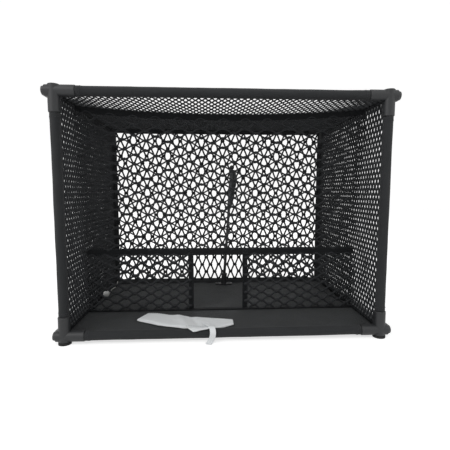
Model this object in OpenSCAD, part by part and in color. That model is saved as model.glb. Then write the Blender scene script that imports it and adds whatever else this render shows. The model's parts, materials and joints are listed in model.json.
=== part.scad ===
// Golf chipping net: two tube hoops, joined by folding side links, carry a box of netting with a
// target net across the middle. Millimetres, +Z up, the open mouth faces -Y, and the origin is on
// the ground under the centre of the box.

/* [Hoops] */
// Width between the upright centres
frame_w = 610; // [540:5:760]
// Height between the bottom and top tube centres
frame_h = 450; // [400:5:560]
// Depth between the rear and front hoop centres
frame_d = 386; // [360:2:430]
// Outer diameter of the hoop tubes
tube_d = 16; // [13:0.5:18]
// Wall of the hoop tubes
tube_wall = 1.2; // [0.8:0.1:2]

/* [Corner elbows] */
// Wall of the sockets that take the uprights
upright_socket_wall = 2.85; // [2.4:0.05:4]
// Wall of the sockets that take the cross tubes
cross_socket_wall = 2.45; // [2:0.05:2.75]
// Radial play of the tubes in their sockets
socket_play = 0.15; // [0.05:0.05:0.3]
// Depth of each socket
socket_depth = 26; // [18:1:34]
// Solid core between the middle of an elbow and the bottom of a socket
elbow_core = 12; // [10:0.5:16]
// Height of the tube centres above the flat underside of an elbow
elbow_drop = 11; // [10.5:0.5:15]
// Chamfer on the outer edges of an elbow
elbow_chamfer = 1; // [0.4:0.1:1.4]
// Gap between a tube's end and the bottom of its socket
tube_seat_gap = 0.3; // [0.1:0.1:1]
// How far the rear pivot bosses stand past the upright sockets
boss_proud = 1; // [0.5:0.5:4]

/* [Feet] */
// Height of the rubber feet
foot_h = 4; // [2:0.5:8]
// Diameter of the rubber feet
foot_d = 24; // [16:1:30]
// Diameter of the peg that holds a foot in its elbow
peg_d = 6; // [4:0.5:8]
// Length of the peg that holds a foot in its elbow
peg_h = 5; // [3:0.5:6]

/* [Folding links] */
// Width of the flat steel links
link_w = 16; // [12:1:20]
// Thickness of the flat steel links
link_t = 3; // [2:0.5:4]
// Diameter of the rivets
rivet_d = 5; // [4:0.5:6]
// Diameter of the rivet heads
rivet_head_d = 10; // [9:0.5:11.5]
// Height of the rivet heads
rivet_head_h = 2; // [1.2:0.1:3]
// Depth of a rivet in its elbow
rivet_grip = 12; // [6:1:16]
// Outer diameter of the washers and of the spacer ring pressed in a link
washer_d = 12; // [10:0.5:14]
// Thickness of the washers and height of the spacer ring
washer_t = 0.8; // [0.5:0.1:1.5]
// Radial play of a rivet where it turns or is pressed
rivet_play = 0.1; // [0.05:0.05:0.2]
// Radial play of the rivets at the three front pivots that follow the others
loose_pivot_play = 0.3; // [0.2:0.05:0.6]
// Play between the faces that turn on each other
side_play = 0.2; // [0.1:0.05:0.5]
// Length of the stop lug past the middle pivot
lug_l = 14; // [10:1:20]
// Thickness of the stop lug
lug_t = 2.5; // [1.5:0.5:2.5]

/* [Sleeves and nets] */
// Thickness of the cloth sleeves around the tubes
sleeve_t = 1.2; // [0.8:0.1:1.8]
// Play between a sleeve and its tube
sleeve_play = 0.2; // [0.1:0.05:0.3]
// Gap between a sleeve's end and the elbow
sleeve_end_gap = 1; // [0.5:0.5:4]
// Least width of the seam fins that join the sleeves to the nets
seam_fin = 1.5; // [1:0.25:3]
// Thickness of the nets and of the floor cloth
net_t = 2; // [1:0.25:3]
// Width and height of one mesh in the coarse netting of the solids
net_mesh = 60; // [48:1:62]
// Width of the bars between the openings of a net
net_bar = 8; // [5:0.5:10]
// Width of the closed edge around a net
net_hem = 5; // [3:0.5:8]
// Gap left for each seam
seam_gap = 0.3; // [0.2:0.05:0.6]
// Width of the tape over the side seams
tape_w = 8; // [5:1:14]
// Thickness of the tape over the side seams
tape_t = 1.5; // [1:0.25:2]

/* [Target net] */
// Distance of the target net in front of the rear hoop
gate_setback = 251; // [220:1:270]
// Distance by which the top edge of the target net leans to the front
gate_lean = 41; // [0:1:42]
// Clear width of the window at the bottom of the target net
window_w = 112; // [90:2:160]
// Clear height of the window
window_h = 124; // [90:1:160]
// Distance of the window's middle to the left of the middle of the box
window_shift = 10; // [0:1:60]
// Width of the webbing over the window
cross_band_w = 17; // [12:1:30]
// Width of the webbing at the sides of the window
post_band_w = 12; // [8:1:20]
// Width of the webbing along the floor
foot_band_w = 14; // [8:1:24]
// Width of the webbing along the ceiling
head_band_w = 12; // [8:1:24]
// Thickness of the webbing
band_t = 2; // [1.5:0.25:3]

/* [Flagstick] */
// Distance of the flagstick to the right of the middle
flag_x = 14; // [0:1:60]
// Distance of the flagstick in front of the rear hoop
flag_setback = 30; // [28:0.5:32]
// Lean of the flagstick to the right, in degrees
stick_lean = 4; // [0:0.5:6]
// Diameter of the flagstick
pole_d = 8; // [4:0.5:8]
// Length of the flagstick
pole_l = 338; // [300:1:370]
// Diameter of the knob on the flagstick
knob_d = 13; // [9:0.5:14]
// Depth of the flagstick in the knob
knob_grip = 7; // [4:0.5:7]
// Outer diameter of the socket that holds the flagstick
flag_socket_d = 16; // [13:0.5:20]
// Height of the socket above its flange
flag_socket_h = 30; // [24:1:44]
// Radial play of the flagstick in its socket
pole_play = 0.2; // [0.1:0.05:0.4]
// Length of the flange under the socket
flange_l = 50; // [46:1:70]
// Width of the flange under the socket
flange_w = 20; // [18:0.5:21]
// Thickness of the flange and of the plate under the floor cloth
flange_t = 2.5; // [1.5:0.5:4]
// Distance between the two screws
screw_gap = 32; // [28:1:34]
// Diameter of the screws
screw_d = 3; // [2.5:0.5:4]
// Diameter of the screw heads
screw_head_d = 6; // [5:0.5:7]
// Height of the screw heads
screw_head_h = 1.6; // [1:0.2:2.4]
// Distance from the middle of the flagstick to the free edge of the flag
flag_reach = 24; // [16:1:25]
// Height of the flag as it hangs
flag_h = 105; // [70:1:140]
// Gap between the knob and the flag
flag_top_gap = 0.5; // [0.3:0.1:4]
// Thickness of the flag and of its hem
flag_t = 1.2; // [0.8:0.1:2]
// Height of the collar under the flag
collar_h = 5; // [3:1:10]
// Wall of the collar under the flag
collar_wall = 2; // [1.2:0.2:3]

/* [Ball tie] */
// Diameter of the ball on the elastic cord
tie_ball_d = 16; // [12:1:20]
// Diameter of the elastic cord
cord_d = 2.5; // [2:0.25:3]

/* [Landing pad] */
// Thickness of the landing pad
pad_t = 5; // [3:0.5:5]
// Thickness of the flap that folds from the pad over the front tube
flap_t = 1.5; // [1:0.1:2]
// Width of the strap that ties the pad to the front tube
strap_w = 12; // [8:1:20]
// Thickness of the strap
strap_t = 1.5; // [1:0.1:2]
// Height of the strap's free end above the ground
strap_end_z = 1; // [1:0.5:8]
// How far the strap is sewn over the pad, from the middle of the tube
strap_hold = 28; // [20:1:36]

/* [Hidden] */
$fn = 48;
overcut = 1;

// Tubes and elbows
tube_r = tube_d / 2;
upright_socket_r = tube_r + socket_play + upright_socket_wall;
cross_socket_r = tube_r + socket_play + cross_socket_wall;
socket_reach = elbow_core + socket_depth;
half_w = frame_w / 2;
rear_y = frame_d / 2;
front_y = -frame_d / 2;
base_z = foot_h + elbow_drop;
top_z = base_z + frame_h;

// Layers of the pivots, measured from the middle of the box along X
rear_face_x = half_w + upright_socket_r + boss_proud;
layer_gap = washer_t + side_play;
rear_link_x = rear_face_x + layer_gap;
front_link_x = rear_link_x + link_t + layer_gap;
front_face_x = front_link_x - layer_gap;
rivet_r = rivet_d / 2;

// Sleeves, nets and bands
sleeve_r = tube_r + sleeve_play + sleeve_t;
fin_reach = max(upright_socket_r, sleeve_r + seam_fin);
net_edge = fin_reach + seam_gap;
side_face_x = half_w - net_t / 2 - seam_gap;
floor_top = base_z + net_t / 2;
ceiling_under = top_z - net_t / 2 - seam_gap;
gate_y = rear_y - gate_setback;
gate_base_z = floor_top + seam_gap + band_t + seam_gap;
window_top = gate_base_z + window_h;
cross_band_z = window_top + seam_gap;
upper_net_z = cross_band_z + cross_band_w + seam_gap;
head_band_z = ceiling_under - head_band_w;
lean_per_mm = gate_lean / (ceiling_under - upper_net_z);

// Flagstick
flag_y = rear_y - flag_setback;
pole_r = pole_d / 2;
flange_z = floor_top + seam_gap;
socket_floor = flange_z + flange_t;
plate_z = base_z - net_t / 2 - seam_gap - flange_t;
pole_z = socket_floor + tube_seat_gap;
pole_top = pole_z + pole_l;
knob_z = pole_top - knob_grip + knob_d / 2;
flag_top = pole_top - knob_grip - flag_top_gap;
flag_base = flag_top - flag_h;
hem_r = pole_r + pole_play + flag_t;

// Landing pad, its flap and its strap: outline points as [x, distance behind the front tube]
pad_z = floor_top + seam_gap;
flap_inner_r = sleeve_r + seam_gap;
flap_outer_r = flap_inner_r + flap_t;
flap_left_x = -76;
flap_right_x = -22;
flap_root = flap_inner_r + flap_t / 2;
pad_outline = [
    [-183, 66], [-164, 101], [-84, 82], [-20, 66], [18, 57], [18, 32], [0, 20],
    [flap_right_x, flap_root], [flap_left_x, flap_root],
    [-84, 18], [-100, 24], [-116, 29], [-135, 36], [-153, 47], [-176, 60]
];

// Lower edge of the flap: [x, height over the tube's middle as a share of the flap's radius]
flap_edge = [
    [-77, 1.05], [-72, 0.98], [-68, 0.88], [-62, 0.64],
    [-50, 0.77], [-38, 0.87], [-30, 0.97], [-21, 1.05]
];
strap_x = -29;

// Route of the elastic cord, from inside the ball to the rear left elbow
tie_ball_at = [-295, 50, 24.4];
cord_route = [
    [-295, 54, 24.4], [-295, 59, 24.25], [-295, 64, 22.9], [-295, 70, 20.2], [-295.5, 76, 18.5],
    [-296, 82, 17.8], [-297, 89, 17.7], [-297.5, 97, 17.7], [-298, 105, 17.7], [-297.5, 113, 17.7],
    [-297, 121, 17.7], [-296, 128, 17.7], [-295, 136, 17.7], [-294.5, 144, 17.7], [-294.5, 152, 17.7],
    [-295, 160, 17.8], [-296, 167, 18.2], [-297.5, 173, 19.2], [-298.5, 178, 20.5], [-299, 183, 22]
];
cord_sides = 8;

// ---- helpers ----

// Rod with both edges chamfered
module chamfered_rod(radius, length, chamfer) {
    cylinder(r1 = radius - chamfer, r2 = radius, h = chamfer);
    translate([0, 0, chamfer])
        cylinder(r = radius, h = length - 2 * chamfer);
    translate([0, 0, length - chamfer])
        cylinder(r1 = radius, r2 = radius - chamfer, h = chamfer);
}

// Box between two corners
module box(low, high) {
    translate(low)
        cube(high - low);
}

// Places children on the left and on the right side
module both_sides() {
    children();
    mirror([1, 0, 0])
        children();
}

// ---- hoops ----

module hollow_tube(length) {
    difference() {
        cylinder(r = tube_r, h = length);
        translate([0, 0, -overcut])
            cylinder(r = tube_r - tube_wall, h = length + 2 * overcut);
    }
}

module upright(side, y) {
    color("#17181a")
        translate([side * half_w, y, base_z + elbow_core + tube_seat_gap])
            hollow_tube(frame_h - 2 * (elbow_core + tube_seat_gap));
}

module cross_tube(y, z) {
    length = frame_w - 2 * (elbow_core + tube_seat_gap);
    color("#17181a")
        translate([-length / 2, y, z])
            rotate([0, 90, 0])
                hollow_tube(length);
}

// Elbow with its upright socket along +Z, its cross socket along -X and its pivot boss along +X
module elbow(boss_l, has_foot) {
    difference() {
        union() {
            translate([0, 0, -elbow_drop])
                chamfered_rod(upright_socket_r, elbow_drop + socket_reach, elbow_chamfer);
            translate([-socket_reach, 0, 0])
                rotate([0, 90, 0])
                    chamfered_rod(cross_socket_r, socket_reach + boss_l, elbow_chamfer);
        }
        translate([0, 0, elbow_core])
            cylinder(r = tube_r + socket_play, h = socket_depth + overcut);
        translate([-elbow_core, 0, 0])
            rotate([0, -90, 0])
                cylinder(r = tube_r + socket_play, h = socket_depth + overcut);
        translate([boss_l - rivet_grip - tube_seat_gap, 0, 0])
            rotate([0, 90, 0])
                cylinder(r = rivet_r + rivet_play, h = rivet_grip + tube_seat_gap + overcut);
        if (has_foot)
            translate([0, 0, -elbow_drop - overcut])
                cylinder(r = peg_d / 2 + rivet_play, h = peg_h + tube_seat_gap + overcut);
    }
}

module lower_elbows(y, face_x) {
    color("#1d1e20")
        both_sides()
            translate([half_w, y, base_z])
                elbow(face_x - half_w, true);
}

module upper_elbows(y, face_x) {
    color("#1d1e20")
        both_sides()
            translate([half_w, y, top_z])
                mirror([0, 0, 1])
                    elbow(face_x - half_w, false);
}

module feet(y) {
    color("#101010")
        both_sides()
            translate([half_w, y, 0]) {
                cylinder(r = foot_d / 2, h = foot_h);
                translate([0, 0, foot_h - overcut])
                    cylinder(r = peg_d / 2, h = peg_h + overcut);
            }
}

// Cloth sleeve along +Z with seam fins in the given directions
module sleeve(length, fin_angles) {
    difference() {
        union() {
            cylinder(r = sleeve_r, h = length);
            for (angle = fin_angles)
                rotate([0, 0, angle])
                    box([tube_r, -net_t / 2, 0], [fin_reach, net_t / 2, length]);
        }
        translate([0, 0, -overcut])
            cylinder(r = tube_r + sleeve_play, h = length + 2 * overcut);
    }
}

// Sleeves of one hoop. The fins of the uprights point at their angles from +X towards +Y, and
// those of the cross tubes at their angles from the outside of the box towards +Y
module hoop_sleeves(y, upright_angles, cross_angles) {
    inset = socket_reach + sleeve_end_gap;
    color("#1a1b1d") {
        both_sides()
            translate([half_w, y, base_z + inset])
                sleeve(frame_h - 2 * inset, upright_angles);
        for (end = [0, 1])
            translate([0, 0, end * (top_z + base_z)])
                mirror([0, 0, end])
                    translate([-half_w + inset, y, base_z])
                        rotate([0, 90, 0])
                            sleeve(frame_w - 2 * inset, cross_angles);
    }
}

// ---- pivots and links ----

// Rivet along +X: the shank starts at x = 0 and the head sits on x = shank_l
module rivet(shank_l) {
    rotate([0, 90, 0]) {
        cylinder(r = rivet_r, h = shank_l + rivet_head_h / 2);
        translate([0, 0, shank_l])
            rivet_head();
    }
}

module rivet_head() {
    cylinder(r = rivet_head_d / 2, h = rivet_head_h / 2);
    translate([0, 0, rivet_head_h / 2])
        cylinder(r1 = rivet_head_d / 2, r2 = rivet_head_d / 4, h = rivet_head_h / 2);
}

module ring_x(x, outer_r, inner_r, thickness) {
    translate([x, 0, 0])
        rotate([0, 90, 0])
            difference() {
                cylinder(r = outer_r, h = thickness);
                translate([0, 0, -overcut])
                    cylinder(r = inner_r, h = thickness + 2 * overcut);
            }
}

module pivot_rivets(y, face_x) {
    color("#8f9296")
        both_sides()
            for (z = [base_z, top_z])
                translate([face_x - rivet_grip, y, z])
                    rivet(rivet_grip + layer_gap + link_t + side_play);
}

module pivot_washers(y, face_x) {
    color("#d9d9d4")
        both_sides()
            for (z = [base_z, top_z])
                translate([0, y, z])
                    ring_x(face_x, washer_d / 2, rivet_r + rivet_play, washer_t);
}

// Flat bar from the pivot at y0 to the pivot at y1, standing on the plane x
module link_bar(x, y0, y1) {
    rotate([0, 90, 0]) {
        for (y = [y0, y1])
            translate([0, y, x])
                cylinder(r = link_w / 2, h = link_t);
    }
    box([x, y0, -link_w / 2], [x + link_t, y1, link_w / 2]);
}

module pivot_hole(x, y, play) {
    translate([x - overcut, y, 0])
        rotate([0, 90, 0])
            cylinder(r = rivet_r + play, h = link_t + layer_gap + 2 * overcut);
}

// Rear half of a side link, with the spacer ring and the stop lug at the middle pivot
module rear_link() {
    lug_base = link_w / 2 + seam_gap;
    difference() {
        union() {
            link_bar(rear_link_x, 0, rear_y);
            translate([rear_link_x + link_t - overcut, 0, 0])
                rotate([0, 90, 0])
                    cylinder(r = washer_d / 2, h = washer_t + overcut);
            box([rear_link_x, -lug_l, 0], [rear_link_x + link_t, 0, lug_base + lug_t]);
            box(
                [rear_link_x, -lug_l, lug_base],
                [front_link_x + link_t, -lug_l / 2, lug_base + lug_t]
            );
        }
        pivot_hole(rear_link_x, 0, rivet_play);
        pivot_hole(rear_link_x, rear_y, rivet_play);
    }
}

module front_link(front_play) {
    difference() {
        link_bar(front_link_x, front_y, 0);
        pivot_hole(front_link_x, 0, rivet_play);
        pivot_hole(front_link_x, front_y, front_play);
    }
}

// Puts a link of the right side at one of the four corners; the upper ones hang upside down
module at_corner(side, level) {
    color("#1b1c1e")
        mirror([side < 0 ? 1 : 0, 0, 0])
            translate([0, 0, level > 0 ? top_z : base_z])
                mirror([0, 0, level > 0 ? 1 : 0])
                    children();
}

module mid_rivet(side, level) {
    color("#8f9296")
        mirror([side < 0 ? 1 : 0, 0, 0])
            translate([rear_link_x, 0, level > 0 ? top_z : base_z]) {
                rivet(2 * link_t + layer_gap + side_play);
                rotate([0, -90, 0])
                    rivet_head();
            }
}

// ---- nets ----

// Diamond openings of a net from the corner at the origin, in alternate rows inside its hem
module net_openings(width, height) {
    field_w = width - 2 * net_hem;
    field_h = height - 2 * net_hem;
    columns = max(2, round(field_w / net_mesh));
    rows = max(2, round(field_h / net_mesh));
    half_step = [field_w / columns / 2, field_h / rows / 2];
    open_share = 1 - net_bar * norm(half_step) / (2 * half_step[0] * half_step[1]);
    reach = open_share * half_step;
    translate([net_hem, net_hem])
        intersection() {
            square([field_w, field_h]);
            for (i = [0:2 * columns], j = [0:2 * rows])
                if ((i + j) % 2 == 0)
                    translate([i * half_step[0], j * half_step[1]])
                        polygon([[reach[0], 0], [0, reach[1]], [-reach[0], 0], [0, -reach[1]]]);
        }
}

// Flat net standing on the plane of the drawing
module net_panel(width, height) {
    linear_extrude(height = net_t)
        difference() {
            square([width, height]);
            net_openings(width, height);
        }
}

// Upright net across the box, from a lower left corner in its middle plane
module cross_net(corner, width, height) {
    translate(corner + [0, net_t / 2, 0])
        rotate([90, 0, 0])
            net_panel(width, height);
}

module back_net() {
    color("#202124")
        cross_net(
            [-half_w + net_edge, rear_y, base_z + net_edge],
            frame_w - 2 * net_edge, frame_h - 2 * net_edge
        );
}

module side_net(side) {
    color("#202124")
        translate([side * half_w - net_t / 2, front_y + net_edge, base_z - net_t / 2])
            rotate([90, 0, 90])
                net_panel(frame_d - 2 * net_edge, frame_h + net_t);
}

module top_net() {
    color("#202124")
        translate([-side_face_x, front_y + net_edge, top_z - net_t / 2])
            net_panel(2 * side_face_x, frame_d - 2 * net_edge);
}

module floor_cloth() {
    color("#26282b")
        difference() {
            box(
                [-side_face_x, front_y + net_edge, base_z - net_t / 2],
                [side_face_x, rear_y - net_edge, base_z + net_t / 2]
            );
            screw_places()
                translate([0, 0, base_z - net_t])
                    cylinder(r = screw_d / 2 + seam_gap, h = 2 * net_t);
        }
}

module seam_tapes() {
    tape_x = half_w + net_t / 2 + seam_gap;
    color("#141517")
        both_sides()
            for (z = [base_z - net_t / 2, top_z + net_t / 2 - tape_w])
                box(
                    [tape_x, front_y + net_edge, z],
                    [tape_x + tape_t, rear_y - net_edge, z + tape_w]
                );
}

// ---- target net ----

// How far the target net has leaned to the front at height z
function lean_at(z) = max(0, (z - upper_net_z) * lean_per_mm);

// Sheet across the box that follows the lean of the target net between two heights
module leaning_sheet(z0, z1, thickness) {
    y0 = gate_y - lean_at(z0);
    y1 = gate_y - lean_at(z1);
    half_t = thickness / 2;
    translate([-side_face_x, 0, 0])
        rotate([90, 0, 90])
            linear_extrude(height = 2 * side_face_x)
                polygon([[y0 - half_t, z0], [y0 + half_t, z0], [y1 + half_t, z1], [y1 - half_t, z1]]);
}

module target_upper_net() {
    upper_net_top = head_band_z - seam_gap;
    color("#202124")
        difference() {
            leaning_sheet(upper_net_z, upper_net_top, net_t);
            translate([-side_face_x, gate_y + net_t, upper_net_z])
                rotate([90, 0, 0])
                    linear_extrude(height = gate_lean + 2 * net_t)
                        net_openings(2 * side_face_x, upper_net_top - upper_net_z);
        }
}

module target_lower_net(side) {
    window_side = side * (window_w / 2 + post_band_w + seam_gap) - window_shift;
    wall_side = side * side_face_x;
    color("#202124")
        cross_net(
            [min(window_side, wall_side), gate_y, gate_base_z],
            abs(wall_side - window_side), window_h
        );
}

module cross_band() {
    color("#0e0f10")
        box(
            [-side_face_x, gate_y - band_t / 2, cross_band_z],
            [side_face_x, gate_y + band_t / 2, cross_band_z + cross_band_w]
        );
}

module post_bands() {
    color("#0e0f10")
        translate([-window_shift, 0, 0])
            both_sides()
                box(
                    [window_w / 2, gate_y - band_t / 2, gate_base_z],
                    [window_w / 2 + post_band_w, gate_y + band_t / 2, window_top]
                );
}

module head_band() {
    color("#0e0f10")
        leaning_sheet(head_band_z, ceiling_under, band_t);
}

module foot_band() {
    color("#0e0f10")
        box(
            [-side_face_x, gate_y - foot_band_w / 2, floor_top + seam_gap],
            [side_face_x, gate_y + foot_band_w / 2, floor_top + seam_gap + band_t]
        );
}

// ---- flagstick ----

module screw_places() {
    for (dx = [-screw_gap / 2, screw_gap / 2])
        translate([flag_x + dx, flag_y, 0])
            children();
}

// Plate with round ends, centred on the flagstick and standing on z
module round_ended_plate(z) {
    end_x = flange_l / 2 - flange_w / 2;
    translate([flag_x, flag_y, z]) {
        for (dx = [-end_x, end_x])
            translate([dx, 0, 0])
                cylinder(r = flange_w / 2, h = flange_t);
        box([-end_x, -flange_w / 2, 0], [end_x, flange_w / 2, flange_t]);
    }
}

// Puts children on the leaning flagstick, at a height measured along it
module on_stick(z) {
    translate([flag_x, flag_y, socket_floor])
        rotate([0, stick_lean, 0])
            translate([0, 0, z - socket_floor])
                children();
}

module flag_socket() {
    color("#18191b")
        difference() {
            union() {
                round_ended_plate(flange_z);
                on_stick(socket_floor - flange_t / 2)
                    cylinder(r = flag_socket_d / 2, h = flange_t / 2 + flag_socket_h);
            }
            on_stick(socket_floor)
                cylinder(r = pole_r + pole_play, h = flag_socket_h + overcut);
            screw_places()
                translate([0, 0, flange_z - overcut])
                    cylinder(r = screw_d / 2 + rivet_play, h = flange_t + 2 * overcut);
        }
}

module socket_plate() {
    color("#18191b")
        difference() {
            round_ended_plate(plate_z);
            screw_places()
                translate([0, 0, plate_z - overcut])
                    cylinder(r = screw_d / 2 + rivet_play, h = flange_t + 2 * overcut);
        }
}

module socket_screws() {
    color("#7d8084")
        screw_places() {
            translate([0, 0, plate_z])
                cylinder(r = screw_d / 2, h = socket_floor - plate_z + screw_head_h / 2);
            translate([0, 0, socket_floor])
                cylinder(r = screw_head_d / 2, h = screw_head_h);
        }
}

module flag_pole() {
    color("#0c0c0d")
        on_stick(pole_z)
            cylinder(r = pole_r, h = pole_l);
}

module pole_knob() {
    color("#101112")
        on_stick(0)
            difference() {
                translate([0, 0, knob_z])
                    sphere(r = knob_d / 2);
                translate([0, 0, knob_z - knob_d])
                    cylinder(r = pole_r + rivet_play, h = knob_d + pole_top - knob_z + tube_seat_gap);
            }
}

module flag_collar() {
    color("#101112")
        on_stick(flag_base - seam_gap - collar_h)
            difference() {
                cylinder(r = pole_r + rivet_play + collar_wall, h = collar_h);
                translate([0, 0, -overcut])
                    cylinder(r = pole_r + rivet_play, h = collar_h + 2 * overcut);
            }
}

module flag() {
    color("#131416")
        on_stick(flag_base)
            difference() {
                union() {
                    cylinder(r = hem_r, h = flag_h);
                    box([pole_r, -flag_t / 2, 0], [flag_reach, flag_t / 2, flag_h]);
                }
                translate([0, 0, -overcut])
                    cylinder(r = pole_r + pole_play, h = flag_h + 2 * overcut);
            }
}

// ---- ball tie ----

module tie_ball() {
    color("#e8e8e4")
        translate(tie_ball_at)
            difference() {
                sphere(r = tie_ball_d / 2);
                rotate([-90, 0, 0])
                    cylinder(r = cord_d / 2 + seam_gap, h = tie_ball_d);
            }
}

// Direction of the cord at point i of its route
function route_dir(i) =
    let (
        a = cord_route[max(i - 1, 0)],
        b = cord_route[min(i + 1, len(cord_route) - 1)]
    )
    (b - a) / norm(b - a);

// Ring of points around the route at point i
function route_ring(i) =
    let (
        dir = route_dir(i),
        side = cross(dir, [0, 0, 1]) / norm(cross(dir, [0, 0, 1])),
        up = cross(side, dir)
    )
    [for (k = [0:cord_sides - 1])
        cord_route[i] + cord_d / 2 * (cos(360 * k / cord_sides) * side + sin(360 * k / cord_sides) * up)];

module tie_cord() {
    rings = len(cord_route);
    points = [for (i = [0:rings - 1]) each route_ring(i)];
    walls = [for (i = [0:rings - 2], k = [0:cord_sides - 1])
        let (next = (k + 1) % cord_sides)
        [i * cord_sides + k, i * cord_sides + next, (i + 1) * cord_sides + next, (i + 1) * cord_sides + k]];
    near_cap = [for (k = [0:cord_sides - 1]) cord_sides - 1 - k];
    far_cap = [for (k = [0:cord_sides - 1]) (rings - 1) * cord_sides + k];
    color("#d8d8d2")
        polyhedron(points, concat([near_cap, far_cap], walls), convexity = 4);
}

// ---- landing pad ----

module landing_pad() {
    color("#e4e5e6") {
        translate([0, front_y, pad_z])
            linear_extrude(height = pad_t)
                polygon(pad_outline);
        translate([0, front_y, base_z])
            pad_flap();
    }
}

// Cloth folded from the pad over the front tube, around the middle of the tube, with a slanting edge
module pad_flap() {
    edge = [for (point = flap_edge) [point[0], point[1] * flap_outer_r]];
    difference() {
        translate([flap_left_x, 0, 0])
            rotate([90, 0, 90])
                linear_extrude(height = flap_right_x - flap_left_x)
                    difference() {
                        circle(r = flap_outer_r);
                        circle(r = flap_inner_r);
                        translate([0, -2 * flap_outer_r])
                            square([2 * flap_outer_r, 2 * flap_outer_r + pad_z - base_z]);
                    }
        rotate([90, 0, 0])
            linear_extrude(height = 2 * flap_outer_r)
                polygon(concat(edge, [
                    [flap_right_x + overcut, -2 * flap_outer_r],
                    [flap_left_x - overcut, -2 * flap_outer_r]
                ]));
    }
}

// Strap sewn on the pad, laid over its flap and hanging down before the front tube
module pad_strap() {
    inner_r = flap_outer_r + seam_gap;
    outer_r = inner_r + strap_t;
    strap_z = pad_z + pad_t + seam_gap - base_z;
    strap_start = sqrt(inner_r * inner_r - strap_z * strap_z);
    color("#e4e5e6")
        translate([strap_x - strap_w / 2, front_y, base_z])
            rotate([90, 0, 90])
                linear_extrude(height = strap_w) {
                    difference() {
                        circle(r = outer_r);
                        circle(r = inner_r);
                        translate([-2 * outer_r, -4 * outer_r])
                            square(4 * outer_r);
                        translate([0, -outer_r])
                            square([2 * outer_r, outer_r + strap_z]);
                    }
                    translate([-outer_r, strap_end_z - base_z])
                        square([strap_t, base_z - strap_end_z + overcut / 2]);
                    translate([strap_start, strap_z])
                        square([strap_hold - strap_start, strap_t]);
                }
}

// ---- selection ----

upright(-1, rear_y);  // rear_left_upright
upright(1, rear_y);  // rear_right_upright
cross_tube(rear_y, top_z);  // rear_top_tube
cross_tube(rear_y, base_z);  // rear_bottom_tube
lower_elbows(rear_y, rear_face_x);  // rear_lower_elbows
upper_elbows(rear_y, rear_face_x);  // rear_upper_elbows
feet(rear_y);  // rear_feet
hoop_sleeves(rear_y, [180, 270], [180, 270]);  // rear_sleeves
pivot_rivets(rear_y, rear_face_x);  // rear_pivot_rivets
pivot_washers(rear_y, rear_face_x);  // rear_pivot_washers
upright(-1, front_y);  // front_left_upright
upright(1, front_y);  // front_right_upright
cross_tube(front_y, top_z);  // front_top_tube
cross_tube(front_y, base_z);  // front_bottom_tube
lower_elbows(front_y, front_face_x);  // front_lower_elbows
upper_elbows(front_y, front_face_x);  // front_upper_elbows
feet(front_y);  // front_feet
hoop_sleeves(front_y, [90], [90]);  // front_sleeves
pivot_rivets(front_y, front_face_x);  // front_pivot_rivets
pivot_washers(front_y, front_face_x);  // front_pivot_washers
at_corner(-1, -1) rear_link();  // lower_left_rear_link
at_corner(-1, -1) front_link(rivet_play);  // lower_left_front_link
mid_rivet(-1, -1);  // lower_left_mid_rivet
at_corner(1, -1) rear_link();  // lower_right_rear_link
at_corner(1, -1) front_link(loose_pivot_play);  // lower_right_front_link
mid_rivet(1, -1);  // lower_right_mid_rivet
at_corner(-1, 1) rear_link();  // upper_left_rear_link
at_corner(-1, 1) front_link(loose_pivot_play);  // upper_left_front_link
mid_rivet(-1, 1);  // upper_left_mid_rivet
at_corner(1, 1) rear_link();  // upper_right_rear_link
at_corner(1, 1) front_link(loose_pivot_play);  // upper_right_front_link
mid_rivet(1, 1);  // upper_right_mid_rivet
back_net();
side_net(-1);  // left_side_net
side_net(1);  // right_side_net
top_net();
floor_cloth();
seam_tapes();
target_upper_net();
target_lower_net(-1);  // target_left_net
target_lower_net(1);  // target_right_net
cross_band();
post_bands();
head_band();
foot_band();
flag_socket();
socket_plate();
socket_screws();
flag_pole();
pole_knob();
flag_collar();
flag();
tie_cord();
tie_ball();
landing_pad();
pad_strap();
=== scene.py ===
import json
import math

import bmesh
import bpy
from bpy.props import FloatProperty, FloatVectorProperty, IntProperty, PointerProperty
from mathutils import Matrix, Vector, noise


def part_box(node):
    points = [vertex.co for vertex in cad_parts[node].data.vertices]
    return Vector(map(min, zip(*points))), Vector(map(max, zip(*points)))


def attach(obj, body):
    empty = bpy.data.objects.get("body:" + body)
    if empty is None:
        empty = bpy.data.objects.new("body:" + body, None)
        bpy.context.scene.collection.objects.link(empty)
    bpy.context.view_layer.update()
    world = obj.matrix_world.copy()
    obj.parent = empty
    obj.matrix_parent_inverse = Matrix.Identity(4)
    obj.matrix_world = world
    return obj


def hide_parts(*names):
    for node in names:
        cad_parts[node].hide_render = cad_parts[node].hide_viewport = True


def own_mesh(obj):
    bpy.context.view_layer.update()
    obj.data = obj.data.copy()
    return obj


bl_info = {
    "name": "Golf Chipping Net",
    "version": (1, 0, 0),
    "blender": (4, 5, 0),
    "location": "3D View > Sidebar > Chipping Net",
    "description": "Dresses the frame of a folding golf chipping net with its netting, cloth and finishes",
    "category": "Object",
}

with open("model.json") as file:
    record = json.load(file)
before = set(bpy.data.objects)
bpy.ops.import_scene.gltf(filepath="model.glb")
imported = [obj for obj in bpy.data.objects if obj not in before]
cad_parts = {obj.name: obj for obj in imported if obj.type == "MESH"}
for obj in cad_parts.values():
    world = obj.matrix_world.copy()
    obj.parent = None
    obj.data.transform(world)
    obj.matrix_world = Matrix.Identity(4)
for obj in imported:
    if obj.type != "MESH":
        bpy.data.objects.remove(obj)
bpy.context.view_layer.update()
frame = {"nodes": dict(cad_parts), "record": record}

MM = 0.001
X_AXIS = Vector((1, 0, 0))
Y_AXIS = Vector((0, 1, 0))
Z_AXIS = Vector((0, 0, 1))

# ---- sizes read from the frame ----

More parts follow.
